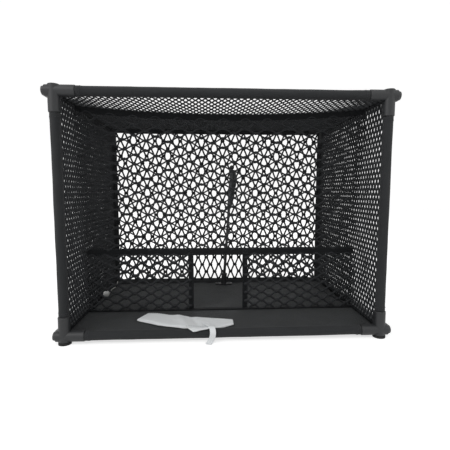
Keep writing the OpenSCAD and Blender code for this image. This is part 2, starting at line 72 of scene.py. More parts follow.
TUBE_LOW, TUBE_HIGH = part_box("rear_left_upright")
TUBE_R = (TUBE_HIGH.x - TUBE_LOW.x) / 2
HALF_W = -(TUBE_LOW.x + TUBE_HIGH.x) / 2
REAR_Y = (TUBE_LOW.y + TUBE_HIGH.y) / 2
FRONT_Y = -REAR_Y
BASE_Z = sum(v.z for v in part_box("rear_bottom_tube")) / 2
TOP_Z = sum(v.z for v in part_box("rear_top_tube")) / 2
SLEEVE_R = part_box("rear_sleeves")[1].x - HALF_W
NET_LOW, NET_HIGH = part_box("back_net")
SIDE_LOW, SIDE_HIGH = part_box("right_side_net")
FLOOR_LOW, FLOOR_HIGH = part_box("floor_cloth")
SEAM_R = NET_LOW.x + HALF_W
UPPER_LOW, UPPER_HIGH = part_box("target_upper_net")
BAND_LOW, BAND_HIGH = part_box("cross_band")
BAND_THICK = BAND_HIGH.y - BAND_LOW.y
GATE_Y = (BAND_LOW.y + BAND_HIGH.y) / 2
HEAD_LOW, HEAD_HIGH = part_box("head_band")
POST_LOW, POST_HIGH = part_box("post_bands")
FOOT_LOW, FOOT_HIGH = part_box("foot_band")
SEAM_GAP = FOOT_LOW.z - FLOOR_HIGH.z
FLAG_LOW, FLAG_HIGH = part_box("flag")

# ---- sizes that no box of the frame gives ----

POST_W = 0.012
PAD_T = 0.005
CORD_D = 0.0025
# Vertices closer than this are merged
MERGE = 1e-6
# How far netting reaches past its panel, into a seam and under the webbing of the target net
SEAM_REACH = 0.0008
BAND_REACH = 0.0035

# ---- how the joints stand and move ----

JOINTS = {joint["name"]: joint for joint in frame["record"]["behaviour"]["joints"]}
STICK_DIR = Vector(JOINTS["flag_turn"]["axis"]).normalized()
STICK_AT = Vector(JOINTS["flag_turn"]["pos_m"])
STICK_TURN = Z_AXIS.rotation_difference(STICK_DIR).to_matrix()
FOLD_ANGLE = math.radians(max(JOINTS["fold"]["range_deg"]))


# ---- settings a user would change ----

class NettingSettings(bpy.types.PropertyGroup):
    back_mesh_w: FloatProperty(
        name="Back mesh width", description="Width of one diamond of the back net",
        default=0.0245, unit="LENGTH")
    back_mesh_h: FloatProperty(
        name="Back mesh height", description="Height of one diamond of the back net",
        default=0.042, unit="LENGTH")
    back_twine: FloatProperty(
        name="Back twine", description="Thickness of the twine of the back net",
        default=0.0049, unit="LENGTH")
    target_mesh_w: FloatProperty(
        name="Target mesh width", description="Width of one diamond of the target net",
        default=0.046, unit="LENGTH")
    target_mesh_h: FloatProperty(
        name="Target mesh height", description="Height of one diamond of the target net",
        default=0.0205, unit="LENGTH")
    target_twine: FloatProperty(
        name="Target twine", description="Thickness of the twine of the target net",
        default=0.0035, unit="LENGTH")
    strip_mesh_w: FloatProperty(
        name="Lower mesh width", description="Width of one diamond beside the window",
        default=0.036, unit="LENGTH")
    strip_mesh_h: FloatProperty(
        name="Lower mesh height", description="Height of one diamond beside the window",
        default=0.0205, unit="LENGTH")
    strip_twine: FloatProperty(
        name="Lower twine", description="Thickness of the twine beside the window",
        default=0.0049, unit="LENGTH")
    side_mesh_w: FloatProperty(
        name="Side mesh width", description="Width of one diamond of the side nets",
        default=0.0125, unit="LENGTH")
    side_mesh_h: FloatProperty(
        name="Side mesh height", description="Height of one diamond of the side nets",
        default=0.021, unit="LENGTH")
    side_twine: FloatProperty(
        name="Side twine", description="Thickness of the twine of the side nets",
        default=0.0035, unit="LENGTH")
    top_mesh_w: FloatProperty(
        name="Top mesh width", description="Width of one diamond of the top net",
        default=0.0125, unit="LENGTH")
    top_mesh_h: FloatProperty(
        name="Top mesh depth", description="Depth of one diamond of the top net",
        default=0.0165, unit="LENGTH")
    top_twine: FloatProperty(
        name="Top twine", description="Thickness of the twine of the top net",
        default=0.0029, unit="LENGTH")
    sag: FloatProperty(
        name="Ceiling sag", description="How far the top net hangs through in its middle",
        default=0.017, unit="LENGTH")
    seed: IntProperty(name="Seed", description="Seed of the small unevenness", default=7)


class ColourSettings(bpy.types.PropertyGroup):
    twine: FloatVectorProperty(
        name="Twine", description="Colour of the netting twine", subtype="COLOR",
        default=(0.016, 0.0175, 0.0195))
    cloth: FloatVectorProperty(
        name="Floor cloth", description="Colour of the floor cloth", subtype="COLOR",
        default=(0.0175, 0.0198, 0.0215))
    sleeve: FloatVectorProperty(
        name="Sleeve cloth", description="Colour of the cloth around the tubes", subtype="COLOR",
        default=(0.0135, 0.0148, 0.0165))
    webbing: FloatVectorProperty(
        name="Webbing", description="Colour of the webbing and the seam tape", subtype="COLOR",
        default=(0.0085, 0.0092, 0.0102))
    coat: FloatVectorProperty(
        name="Powder coat", description="Colour of the painted steel", subtype="COLOR",
        default=(0.016, 0.017, 0.0185))
    nylon: FloatVectorProperty(
        name="Moulded nylon", description="Colour of the elbows and the flag socket", subtype="COLOR",
        default=(0.016, 0.017, 0.0185))
    flag: FloatVectorProperty(
        name="Flag cloth", description="Colour of the flag", subtype="COLOR",
        default=(0.1, 0.104, 0.11))
    white: FloatVectorProperty(
        name="White cloth", description="Colour of the landing pad and its strap", subtype="COLOR",
        default=(0.8, 0.82, 0.83))
    backdrop: FloatProperty(
        name="Backdrop", description="Brightness of the floor and the backdrop",
        default=0.62, min=0, max=1)


# ---- mesh helpers ----

def add_object(name, mesh):
    piece = bpy.data.objects.new(name, mesh)
    bpy.context.scene.collection.objects.link(piece)
    return piece


def shade_smooth(mesh, angle=None):
    for polygon in mesh.polygons:
        polygon.use_smooth = True
    if angle is not None:
        mesh.set_sharp_from_angle(angle=angle)


def mesh_object(name, vertices, faces, uvs=None, sharp=None):
    """A piece from plain lists. uvs holds one pair for each corner of each face, in metres."""
    mesh = bpy.data.meshes.new(name)
    mesh.from_pydata([tuple(v) for v in vertices], [], faces)
    if uvs is not None:
        layer = mesh.uv_layers.new(name="UVMap")
        for loop, uv in zip(layer.data, uvs):
            loop.uv = uv
    mesh.validate()
    shade_smooth(mesh, sharp)
    return add_object(name, mesh)


def bake_modifiers(piece):
    """Turns a piece with modifiers into a plain mesh of the same name."""
    graph = bpy.context.evaluated_depsgraph_get()
    mesh = bpy.data.meshes.new_from_object(piece.evaluated_get(graph))
    piece.modifiers.clear()
    old = piece.data
    piece.data = mesh
    bpy.data.meshes.remove(old)
    return piece


def join_pieces(name, parts):
    """Joins several pieces into the first one, which takes the name."""
    with bpy.context.temp_override(
        active_object=parts[0], object=parts[0], selected_objects=parts, selected_editable_objects=parts
    ):
        bpy.ops.object.join()
    parts[0].name = name
    parts[0].data.name = name
    return parts[0]


def grid_surface(name, across, along, place, size, thickness=0.0):
    """A sheet of across by along cells. place(u, v) gives a point, and size is its flat size."""
    vertices = [place(i / across, j / along) for j in range(along + 1) for i in range(across + 1)]
    faces, uvs = [], []
    for j in range(along):
        for i in range(across):
            first = j * (across + 1) + i
            faces.append((first, first + 1, first + across + 2, first + across + 1))
            for du, dv in ((0, 0), (1, 0), (1, 1), (0, 1)):
                uvs.append(((i + du) / across * size[0], (j + dv) / along * size[1]))
    piece = mesh_object(name, vertices, faces, uvs)
    if thickness:
        solidify = piece.modifiers.new("Thickness", "SOLIDIFY")
        solidify.thickness = thickness
        solidify.offset = 0
        bake_modifiers(piece)
    return piece


def tube_faces(rings, sides):
    """Faces between rings of vertices, each ring with the same number of sides."""
    faces = []
    for first in range(0, (rings - 1) * sides, sides):
        for k in range(sides):
            a, b = first + k, first + (k + 1) % sides
            faces.append((a, b, b + sides, a + sides))
    return faces


def face_outwards(piece, merge=0.0):
    """Points the faces of a closed mesh outwards, after vertices within merge metres are merged."""
    work = bmesh.new()
    work.from_mesh(piece.data)
    if merge:
        bmesh.ops.remove_doubles(work, verts=work.verts, dist=merge)
        bmesh.ops.dissolve_degenerate(work, edges=work.edges, dist=merge)
    bmesh.ops.recalc_face_normals(work, faces=work.faces)
    work.to_mesh(piece.data)
    work.free()
    return piece


def rounded_section(width, thickness):
    """Outline of a flat strap's cut end: a rectangle with round ends."""
    corner_steps = 3
    radius = thickness / 2
    outline = []
    for side in (1, -1):
        for step in range(2 * corner_steps + 1):
            angle = math.pi / 2 - math.pi * step / (2 * corner_steps)
            across = side * (width / 2 - radius + radius * math.cos(angle))
            outline.append((across, side * radius * math.sin(angle)))
    return outline


def sweep_section(name, path, widths, section):
    """Sweeps a section along a path. widths gives the direction of the section's width at each point."""
    count, ring = len(path), len(section)
    # run ends with the way back to the first point added, which only the far end's cap uses
    vertices, lengths, run = [], [], 0.0
    for i, point in enumerate(path):
        tangent = (path[min(i + 1, count - 1)] - path[max(i - 1, 0)]).normalized()
        width = (widths[i] - tangent * widths[i].dot(tangent)).normalized()
        up = tangent.cross(width)
        vertices += [point + width * a + up * b for a, b in section]
        lengths.append(run)
        run += (path[(i + 1) % count] - point).length
    edges_run = [0.0]
    for k in range(ring):
        a, b = section[k], section[(k + 1) % ring]
        edges_run.append(edges_run[-1] + math.dist(a, b))
    uvs = []
    for i in range(count - 1):
        for k in range(ring):
            uvs += [
                (edges_run[k], lengths[i]), (edges_run[k + 1], lengths[i]),
                (edges_run[k + 1], lengths[i + 1]), (edges_run[k], lengths[i + 1]),
            ]
    faces = tube_faces(count, ring)
    faces.append(tuple(reversed(range(ring))))
    faces.append(tuple((count - 1) * ring + k for k in range(ring)))
    uvs += [(section[k][0], 0.0) for k in reversed(range(ring))]
    uvs += [(section[k][0], run) for k in range(ring)]
    piece = mesh_object(name, vertices, faces, uvs, sharp=math.radians(50))
    return face_outwards(piece)


def straight_path(start, end, steps, ripple=0.0, ripple_axis=Z_AXIS, seed=0.0):
    """Points from start to end, with a little unevenness that dies out at both ends."""
    points = []
    for i in range(steps + 1):
        t = i / steps
        point = start.lerp(end, t)
        fade = min(1.0, 8 * t, 8 * (1 - t))
        wave = noise.noise(Vector((point.length * 14 + seed, seed, 3.1)))
        points.append(point + ripple_axis * (ripple * fade * wave))
    return points


def smooth_path(points, steps):
    """Catmull-Rom curve through the points."""
    path = []
    for i in range(len(points) - 1):
        p0, p1 = points[max(i - 1, 0)], points[i]
        p2, p3 = points[i + 1], points[min(i + 2, len(points) - 1)]
        for s in range(steps):
            t = s / steps
            path.append(0.5 * (
                2 * p1 + (p2 - p0) * t + (2 * p0 - 5 * p1 + 4 * p2 - p3) * t * t
                + (3 * p1 - p0 - 3 * p2 + p3) * t ** 3))
    path.append(points[-1].copy())
    return path


def strap(name, path, width_axis, width, thickness):
    """A flat strap along a path, with round edges."""
    section = rounded_section(width, thickness)
    return sweep_section(name, path, [width_axis] * len(path), section)


# ---- node tree helpers ----

class NodeTree:
    """Adds and links the nodes of one node tree."""

    def __init__(self, tree):
        self.tree = tree

    def feed(self, socket, value):
        """Links a socket to another one, or sets its value."""
        if isinstance(value, bpy.types.NodeSocket):
            self.tree.links.new(value, socket)
        else:
            socket.default_value = value

    def add(self, kind, inputs=None, **settings):
        node = self.tree.nodes.new(kind)
        for key, value in settings.items():
            setattr(node, key, value)
        for key, value in (inputs or {}).items():
            self.feed(node.inputs[key], value)
        return node

    def get(self, kind, inputs=None, **settings):
        """Adds a node and gives its first output."""
        return self.add(kind, inputs, **settings).outputs[0]

    def math(self, operation, first, second=0.5, third=0.0):
        return self.get("ShaderNodeMath", {0: first, 1: second, 2: third}, operation=operation)

    def vector_math(self, operation, first, second):
        return self.get("ShaderNodeVectorMath", {0: first, 1: second}, operation=operation)

    def split(self, vector):
        return self.add("ShaderNodeSeparateXYZ", {0: vector}).outputs


class ShaderTree(NodeTree):
    """The nodes of one material, world or shader node group."""

    def noise(self, vector, scale, detail):
        return self.get("ShaderNodeTexNoise", {"Vector": vector, "Scale": scale, "Detail": detail})

    def ridges(self, phase):
        """Rounded ridges, one for each whole step of the phase."""
        return self.math("ABSOLUTE", self.math("SINE", self.math("MULTIPLY", phase, math.pi)))

    def mix_colour(self, factor, first, second):
        node = self.add("ShaderNodeMix", data_type="RGBA")
        for index, value in ((0, factor), (6, first), (7, second)):
            self.feed(node.inputs[index], value)
        return node.outputs[2]

    def ramp(self, factor, low, high, low_value=0.0, high_value=1.0):
        return self.get("ShaderNodeMapRange", {
            "Value": factor, "From Min": low, "From Max": high,
            "To Min": low_value, "To Max": high_value})

    def seen_plainly(self):
        """1 for what the camera sees, straight or in a reflection, and 0 for what lights the net."""
        path = self.add("ShaderNodeLightPath").outputs
        bounced = self.math("MAXIMUM", path["Is Glossy Ray"], path["Is Transmission Ray"])
        return self.math("MAXIMUM", path["Is Camera Ray"], bounced)


def shader_group(name, inputs, outputs):
    """A new shader node group, with its tree and the outputs of its input node."""
    group = bpy.data.node_groups.new(name, "ShaderNodeTree")
    for label, default in inputs:
        socket = group.interface.new_socket(name=label, in_out="INPUT", socket_type="NodeSocketFloat")
        socket.default_value = default
    for label in outputs:
        group.interface.new_socket(name=label, in_out="OUTPUT", socket_type="NodeSocketFloat")
    tree = ShaderTree(group)
    return group, tree, tree.add("NodeGroupInput").outputs


def cloth_weave_group():
    """Plain weave of warp and weft threads, from a UV map in metres. Shade holds random blotches, with
    painted shade darkening the low parts of the weave.
    """
    group, t, given = shader_group(
        "cloth_weave", [("Thread", 0.0006), ("Unevenness", 0.4)], ["Height", "Shade"])
    uv = t.get("ShaderNodeUVMap", uv_map="UVMap")
    place = t.split(uv)
    wander = t.noise(uv, 160.0, 3.0)
    push = t.math("MULTIPLY", t.math("SUBTRACT", wander, 0.5), given["Unevenness"])
    across = t.math("ADD", t.math("DIVIDE", place[0], given["Thread"]), push)
    along = t.math("ADD", t.math("DIVIDE", place[1], given["Thread"]), push)
    parity = t.math("MODULO", t.math("ADD", t.math("FLOOR", across), t.math("FLOOR", along)), 2.0)
    over = t.math("ABSOLUTE", parity)
    warp = t.math("MULTIPLY", t.ridges(across), over)
    weft = t.math("MULTIPLY", t.ridges(along), t.math("SUBTRACT", 1.0, over))
    height = t.math("ADD", warp, weft)
    # Random blotches, plus painted shade: the colour is darker where the threads dip under one another.
    tone_and_groove_shade = t.math("MULTIPLY_ADD", t.noise(uv, 22.0, 5.0), 0.5, t.math("MULTIPLY", height, 0.35))
    t.add("NodeGroupOutput", {"Height": height, "Shade": tone_and_groove_shade})
    return group


def webbing_rib_group():
    """Close ribs across a strap with a herringbone slant, from a UV map in metres. Shade holds random
    blotches, with painted shade darkening the grooves between the ribs.
    """
    group, t, given = shader_group("webbing_rib", [("Rib", 0.0014), ("Slant", 0.6)], ["Height", "Shade"])
    uv = t.get("ShaderNodeUVMap", uv_map="UVMap")
    place = t.split(uv)
    zigzag = t.math("PINGPONG", place[0], 0.0035)
    slanted = t.math("MULTIPLY_ADD", zigzag, given["Slant"], place[1])
    rib = t.ridges(t.math("DIVIDE", slanted, given["Rib"]))
    cord = t.math("ABSOLUTE", t.math("SINE", t.math("MULTIPLY", place[0], math.pi / 0.00117)))
    height = t.math("MULTIPLY_ADD", cord, 0.4, rib)
    # Random blotches, plus painted shade: the colour is darker in the grooves between the ribs and cords.
    tone_and_groove_shade = t.math("MULTIPLY_ADD", t.noise(uv, 60.0, 4.0), 0.5, t.math("MULTIPLY", height, 0.3))
    t.add("NodeGroupOutput", {"Height": height, "Shade": tone_and_groove_shade})
    return group


def twine_twist_group():
    """Laid strands winding round a twine, from its UV map: turns round, metres along. Shade holds random
    blotches, with painted shade darkening the grooves between the strands.
    """
    group, t, given = shader_group("twine_twist", [("Lay", 0.0045), ("Strands", 3.0)], ["Height", "Shade"])
    place = t.split(t.get("ShaderNodeUVMap", uv_map="UVMap"))
    turns = t.math("MULTIPLY", place[0], given["Strands"])
    strand = t.ridges(t.math("ADD", turns, t.math("DIVIDE", place[1], given["Lay"])))
    where = t.add("ShaderNodeTexCoord").outputs["Object"]
    height = t.math("MULTIPLY_ADD", t.noise(where, 900.0, 3.0), 0.4, strand)
    # Random blotches, plus painted shade: the colour is darker in the grooves between the strands.
    tone_and_groove_shade = t.math("MULTIPLY_ADD", t.noise(where, 30.0, 4.0), 0.6, t.math("MULTIPLY", strand, 0.3))
    t.add("NodeGroupOutput", {"Height": height, "Shade": tone_and_groove_shade})
    return group


def moulded_grain_group():
    """Fine grain and slow blotches of a moulded or powder coated face, on object coordinates."""
    group, t, given = shader_group(
        "moulded_grain", [("Grain", 1400.0), ("Blotch", 18.0), ("Scuff", 0.62)],
        ["Height", "Shade", "Scuffs"])
    where = t.add("ShaderNodeTexCoord").outputs["Object"]
    stretched = t.get("ShaderNodeMapping", {"Vector": where, "Scale": (90.0, 90.0, 380.0)})
    scratch = t.get(
        "ShaderNodeTexNoise", {"Vector": stretched, "Scale": 1.0, "Detail": 6.0, "Roughness": 0.7})
    t.add("NodeGroupOutput", {
        "Height": t.noise(where, given["Grain"], 2.0), "Shade": t.noise(where, given["Blotch"], 5.0),
        "Scuffs": t.ramp(scratch, given["Scuff"], t.math("ADD", given["Scuff"], 0.12))})
    return group


GROUPS = {}


def group_node(tree, group, **values):
    node = tree.add("ShaderNodeGroup", node_tree=GROUPS[group])
    for key, value in values.items():
        node.inputs[key].default_value = value
    return node.outputs


def new_material(name):
    material = bpy.data.materials.new(name)
    material.use_nodes = True
    material.node_tree.nodes.clear()
    return material, ShaderTree(material.node_tree)


def rgba(colour, level=1.0):
    return tuple(channel * level for channel in colour) + (1.0,)


def start_material(name, group, colour, dark, light, **values):
    """A new material, its tree, its group's outputs, and the colour shaded from dark to light."""
    material, tree = new_material(name)
    effect = group_node(tree, group, **values)
    # For cloth, webbing and twine, Shade carries painted shade in the grooves of the relief as well as
    # random blotches.
    shaded = tree.mix_colour(effect["Shade"], rgba(colour, dark), rgba(colour, light))
    return material, tree, effect, shaded


def finish_material(material, tree, colour, height, bump, distance, **principled):
    normal = tree.get("ShaderNodeBump", {"Height": height, "Strength": bump, "Distance": distance})
    shader = tree.get("ShaderNodeBsdfPrincipled", {"Base Color": colour, "Normal": normal, **principled})
    tree.add("ShaderNodeOutputMaterial", {"Surface": shader})
    material.diffuse_color = (0.1, 0.1, 0.1, 1)
    return material


def cloth_material(name, colour, thread, roughness=0.85, bump=0.5, contrast=0.45):
    material, tree, weave, shaded = start_material(
        name, "cloth_weave", colour, 1 - contrast, 1 + contrast, Thread=thread)
    rough = tree.ramp(weave["Shade"], 0.0, 1.0, roughness + 0.08, roughness - 0.08)
    return finish_material(
        material, tree, shaded, weave["Height"], bump, thread * 0.5,
        **{"Roughness": rough, "Sheen Weight": 0.05, "Sheen Roughness": 0.5})


def webbing_material(name, colour, roughness=0.7, bump=0.6):
    material, tree, rib, shaded = start_material(name, "webbing_rib", colour, 0.6, 1.45)
    return finish_material(
        material, tree, shaded, rib["Height"], bump, 0.0004,
        **{"Roughness": roughness, "Specular IOR Level": 0.15})


def twine_material(name, colour):
    material, tree, twist, shaded = start_material(name, "twine_twist", colour, 0.6, 1.5)
    return finish_material(
        material, tree, shaded, twist["Height"], 0.7, 0.0004,
        **{"Roughness": 0.72, "Specular IOR Level": 0.35})


def moulded_material(name, colour, roughness, bump=0.12, coat=0.0, scuff=0.62):
    material, tree, grain, shaded = start_material(
        name, "moulded_grain", colour, 0.75, 1.3, Scuff=scuff)
    wear = tree.math("MULTIPLY", grain["Scuffs"], 0.35)
    worn = tree.mix_colour(wear, shaded, rgba((0.12, 0.12, 0.125)))
    rough = tree.ramp(grain["Scuffs"], 0.0, 1.0, roughness, min(1.0, roughness + 0.22))
    return finish_material(
        material, tree, worn, grain["Height"], bump, 0.0002,
        **{"Roughness": rough, "Coat Weight": coat, "Coat Roughness": 0.25})


def metal_material(name, colour, roughness):
    material, tree, grain, shaded = start_material(
        name, "moulded_grain", colour, 0.6, 1.25, Grain=500.0, Blotch=60.0, Scuff=0.5)
    rough = tree.ramp(grain["Scuffs"], 0.0, 1.0, roughness, roughness + 0.25)
    return finish_material(
        material, tree, shaded, grain["Height"], 0.15, 0.0002, **{"Roughness": rough, "Metallic": 1.0})


MATERIALS = {}


def make_materials():
    """Builds every finish of the net once."""
    colours = bpy.context.scene.chipnet_colours
    GROUPS["cloth_weave"] = cloth_weave_group()
    GROUPS["webbing_rib"] = webbing_rib_group()
    GROUPS["twine_twist"] = twine_twist_group()
    GROUPS["moulded_grain"] = moulded_grain_group()
    MATERIALS.update({
        "twine": twine_material("netting_twine", colours.twine),
        "floor_cloth": cloth_material("floor_cloth_weave", colours.cloth, 0.0008, contrast=0.75),
        "sleeve": cloth_material("sleeve_weave", colours.sleeve, 0.0006),
        "flag": cloth_material("flag_weave", colours.flag, 0.0004),
        "webbing": webbing_material("webbing_ribs", colours.webbing),
        "thread": twine_material("sewing_thread", (0.05, 0.053, 0.058)),
        "coat": moulded_material("powder_coat", colours.coat, 0.42, coat=0.15),
        "nylon": moulded_material("moulded_nylon", colours.nylon, 0.5),
        "rubber": moulded_material("foot_rubber", (0.013, 0.013, 0.013), 0.85, bump=0.25),
        "zinc": metal_material("zinc_rivet", (0.36, 0.37, 0.38), 0.32),
        "screw": metal_material("dull_screw", (0.1, 0.102, 0.106), 0.5),
        "washer": moulded_material("natural_nylon", (0.62, 0.62, 0.58), 0.45, scuff=0.75),
        "pole": moulded_material("flagstick_glass_fibre", (0.012, 0.012, 0.013), 0.3, coat=0.3),
        "white_cloth": cloth_material("white_pad_cloth", colours.white, 0.0007, 0.7, 0.3, 0.06),
        "white_webbing": webbing_material("white_strap_ribs", colours.white, 0.65, 0.4),
        "white_thread": twine_material("white_thread", (0.5, 0.51, 0.52)),
        "white_cord": twine_material("braided_elastic", (0.56, 0.56, 0.53)),
        "ball": moulded_material("white_ball_plastic", (0.84, 0.84, 0.82), 0.28, bump=0.05, scuff=0.72),
    })


def dress(piece, material, body, replaced=()):
    """Gives a piece its finish and its body, and hides the nodes it stands for."""
    piece.data.materials.clear()
    piece.data.materials.append(MATERIALS[material])
    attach(piece, body)
    if replaced:
        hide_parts(*replaced)
    return piece


def gather(piece):
    """Gives a piece its own copy of its mesh."""
    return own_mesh(piece)


def dress_box(piece, material, replaced=()):
    """Dresses a piece of the netting box and gives it its own copy of its mesh."""
    dress(piece, material, "rear_frame", replaced)
    gather(piece)


# ---- geometry node trees ----

class GeometryTree(NodeTree):
    """The nodes of one geometry tree with named inputs."""

    def __init__(self, name, inputs):
        super().__init__(bpy.data.node_groups.new(name, "GeometryNodeTree"))
        self.tree.is_modifier = True
        self.sockets = {}
        for label, kind, default in inputs:
            socket = self.tree.interface.new_socket(name=label, in_out="INPUT", socket_type=kind)
            if default is not None:
                socket.default_value = default
            self.sockets[label] = socket.identifier
        self.tree.interface.new_socket(
            name="Geometry", in_out="OUTPUT", socket_type="NodeSocketGeometry")
        self.given = self.add("NodeGroupInput").outputs

    def vector(self, x=0.0, y=0.0, z=0.0):
        return self.get("ShaderNodeCombineXYZ", {0: x, 1: y, 2: z})

    def position(self):
        return self.get("GeometryNodeInputPosition")

    def realize(self, geometry):
        return self.get("GeometryNodeRealizeInstances", {0: geometry})

    def capture(self, geometry, field):
        """The geometry with the field's value kept on its points, and that value."""
        node = self.add("GeometryNodeCaptureAttribute", domain="POINT")
        node.capture_items.new("FLOAT", "Kept")
        self.feed(node.inputs[0], geometry)
        self.feed(node.inputs[1], field)
        return node.outputs[0], node.outputs[1]

    def finish(self, geometry):
        smooth = self.get("GeometryNodeSetShadeSmooth", {0: self.realize(geometry)})
        painted = self.get("GeometryNodeSetMaterial", {0: smooth, "Material": self.given["Material"]})
        self.add("NodeGroupOutput", {0: painted})
        return self


FLOAT, WHOLE, MATERIAL = "NodeSocketFloat", "NodeSocketInt", "NodeSocketMaterial"
TREES = {}


def netting_tree():
    """Knotted netting in the XY plane: rows of zigzag twine that meet at knots."""
    g = GeometryTree("netting", [
        ("Width", FLOAT, 0.6), ("Height", FLOAT, 0.4), ("Half Meshes Across", WHOLE, 50),
        ("Half Meshes Up", WHOLE, 20), ("Steps", WHOLE, 4), ("Twine Sides", WHOLE, 6),
        ("Twine", FLOAT, 0.0025), ("Knot", FLOAT, 0.006), ("Knot Detail", WHOLE, 2),
        ("Knot Share", FLOAT, 0.14), ("Slack", FLOAT, 0.002), ("Seed", FLOAT, 1.0),
        ("Material", MATERIAL, None),
    ])
    given = g.given
    half_w = g.math("DIVIDE", given["Width"], given["Half Meshes Across"])
    half_h = g.math("DIVIDE", given["Height"], given["Half Meshes Up"])
    count = g.math("ADD", g.math("MULTIPLY", given["Half Meshes Across"], given["Steps"]), 1.0)
    line = g.get("GeometryNodeCurvePrimitiveLine", {"End": g.vector(given["Width"])})
    row = g.get("GeometryNodeResampleCurve", {"Curve": line, "Count": count})
    starts = g.get(
        "GeometryNodeMeshLine", {"Count": given["Half Meshes Up"], "Offset": g.vector(0.0, half_h)})
    rows = g.realize(g.get("GeometryNodeInstanceOnPoints", {"Points": starts, "Instance": row}))

    # Each row swings up and down by half a mesh, and stays level where it is knotted
    at = g.split(g.position())
    step = g.math("DIVIDE", at[0], half_w)
    level = g.math("ROUND", g.math("DIVIDE", at[1], half_h))
    swing = g.math("PINGPONG", g.math("ADD", step, level), 1.0)
    rows, swing = g.capture(rows, swing)
    far = g.math("SUBTRACT", 1.0, given["Knot Share"])
    rise = g.get(
        "ShaderNodeMapRange", {"Value": swing, "From Min": given["Knot Share"], "From Max": far})
    offset = g.vector(0.0, g.math("MULTIPLY", rise, half_h))
    rows = g.get("GeometryNodeSetPosition", {"Geometry": rows, "Offset": offset})

    # The twine is pulled a little out of line everywhere
    moved = g.vector_math("ADD", g.position(), g.vector(given["Seed"], given["Seed"]))
    wander = g.add(
        "ShaderNodeTexNoise", {"Vector": moved, "Scale": 21.0, "Detail": 2.0}).outputs["Color"]
    pushed = g.get("ShaderNodeVectorMath", {
        0: g.vector_math("SUBTRACT", wander, (0.5, 0.5, 0.5)), "Scale": given["Slack"],
    }, operation="SCALE")
    rows = g.get("GeometryNodeSetPosition", {"Geometry": rows, "Offset": pushed})

    knot_body = g.get("GeometryNodeMeshIcoSphere", {
        "Radius": g.math("MULTIPLY", given["Knot"], 0.5), "Subdivisions": given["Knot Detail"]})
    is_knot = g.get("FunctionNodeCompare", {0: swing, 1: 0.01}, operation="LESS_THAN")
    turn = g.get(
        "FunctionNodeRandomValue", {"Min": (-0.3, -0.3, -0.5), "Max": (0.3, 0.3, 0.5)},
        data_type="FLOAT_VECTOR")
    knots = g.realize(g.get("GeometryNodeInstanceOnPoints", {
        "Points": rows, "Selection": is_knot, "Instance": knot_body, "Rotation": turn,
        "Scale": (1.2, 0.85, 0.72)}))

    along = g.add("GeometryNodeSplineParameter").outputs["Length"]
    rows, along = g.capture(rows, along)
    profile = g.get("GeometryNodeCurvePrimitiveCircle", {
        "Resolution": given["Twine Sides"], "Radius": g.math("MULTIPLY", given["Twine"], 0.5)})
    profile, around = g.capture(profile, g.get("GeometryNodeSplineParameter"))
    twine = g.get(
        "GeometryNodeCurveToMesh", {"Curve": rows, "Profile Curve": profile, "Fill Caps": True})
    twine = g.get("GeometryNodeStoreNamedAttribute", {
        "Geometry": twine, "Name": "UVMap", "Value": g.vector(around, along)},
        data_type="FLOAT2", domain="CORNER")
    both = g.add("GeometryNodeJoinGeometry")
    for part in (knots, twine):
        g.feed(both.inputs[0], part)
    return g.finish(both.outputs[0])


def stitch_tree():
    """Small stitches at even steps along the edges of the given line."""
    g = GeometryTree("stitches", [
        ("Line", "NodeSocketGeometry", None), ("Spacing", FLOAT, 0.004), ("Length", FLOAT, 0.0028),
        ("Thickness", FLOAT, 0.0008), ("Material", MATERIAL, None),
    ])
    given = g.given
    path = g.get("GeometryNodeMeshToCurve", {0: given["Line"]})
    points = g.add(
        "GeometryNodeCurveToPoints", {"Curve": path, "Length": given["Spacing"]}, mode="LENGTH").outputs
    body = g.get("GeometryNodeMeshCylinder", {
        "Vertices": 6, "Side Segments": 2, "Radius": g.math("MULTIPLY", given["Thickness"], 0.5),
        "Depth": given["Length"]}, fill_type="TRIANGLE_FAN")

    # A stitch is thinner towards both of its ends
    height = g.split(g.position())[2]
    reach = g.math("DIVIDE", g.math("ABSOLUTE", height), g.math("MULTIPLY", given["Length"], 0.5))
    taper = g.math("SUBTRACT", 1.0, g.math("MULTIPLY", g.math("POWER", reach, 3.0), 0.6))
    narrowed = g.vector_math("MULTIPLY", g.position(), g.vector(taper, taper, 1.0))
    body = g.get("GeometryNodeSetPosition", {"Geometry": body, "Position": narrowed})
    return g.finish(g.get("GeometryNodeInstanceOnPoints", {
        "Points": points["Points"], "Instance": body, "Rotation": points["Rotation"]}))


def grow(name, tree_name, values, carrier=None):
    """Runs a geometry tree with these values and returns the plain mesh it makes."""
    tree = TREES[tree_name]
    piece = carrier or add_object(name, bpy.data.meshes.new(name))
    modifier = piece.modifiers.new("Grow", "NODES")
    modifier.node_group = tree.tree
    for label, value in values.items():
        modifier[tree.sockets[label]] = value
    bake_modifiers(piece)
    piece.name = name
    piece.data.name = name
    return piece


def stitch_lines(name, lines, spacing=0.0042, length=0.003, thickness=0.0009, material="thread"):
    """Stitches along one or more lines of points."""
    vertices, edges = [], []
    for line in lines:
        first = len(vertices)
        vertices += [tuple(p) for p in line]
        edges += [(first + i, first + i + 1) for i in range(len(line) - 1)]
    mesh = bpy.data.meshes.new(name)
    mesh.from_pydata(vertices, edges, [])
    values = {"Spacing": spacing, "Length": length, "Thickness": thickness,
              "Material": MATERIALS[material]}
    return grow(name, "stitches", values, add_object(name, mesh))


# ---- netting panels ----

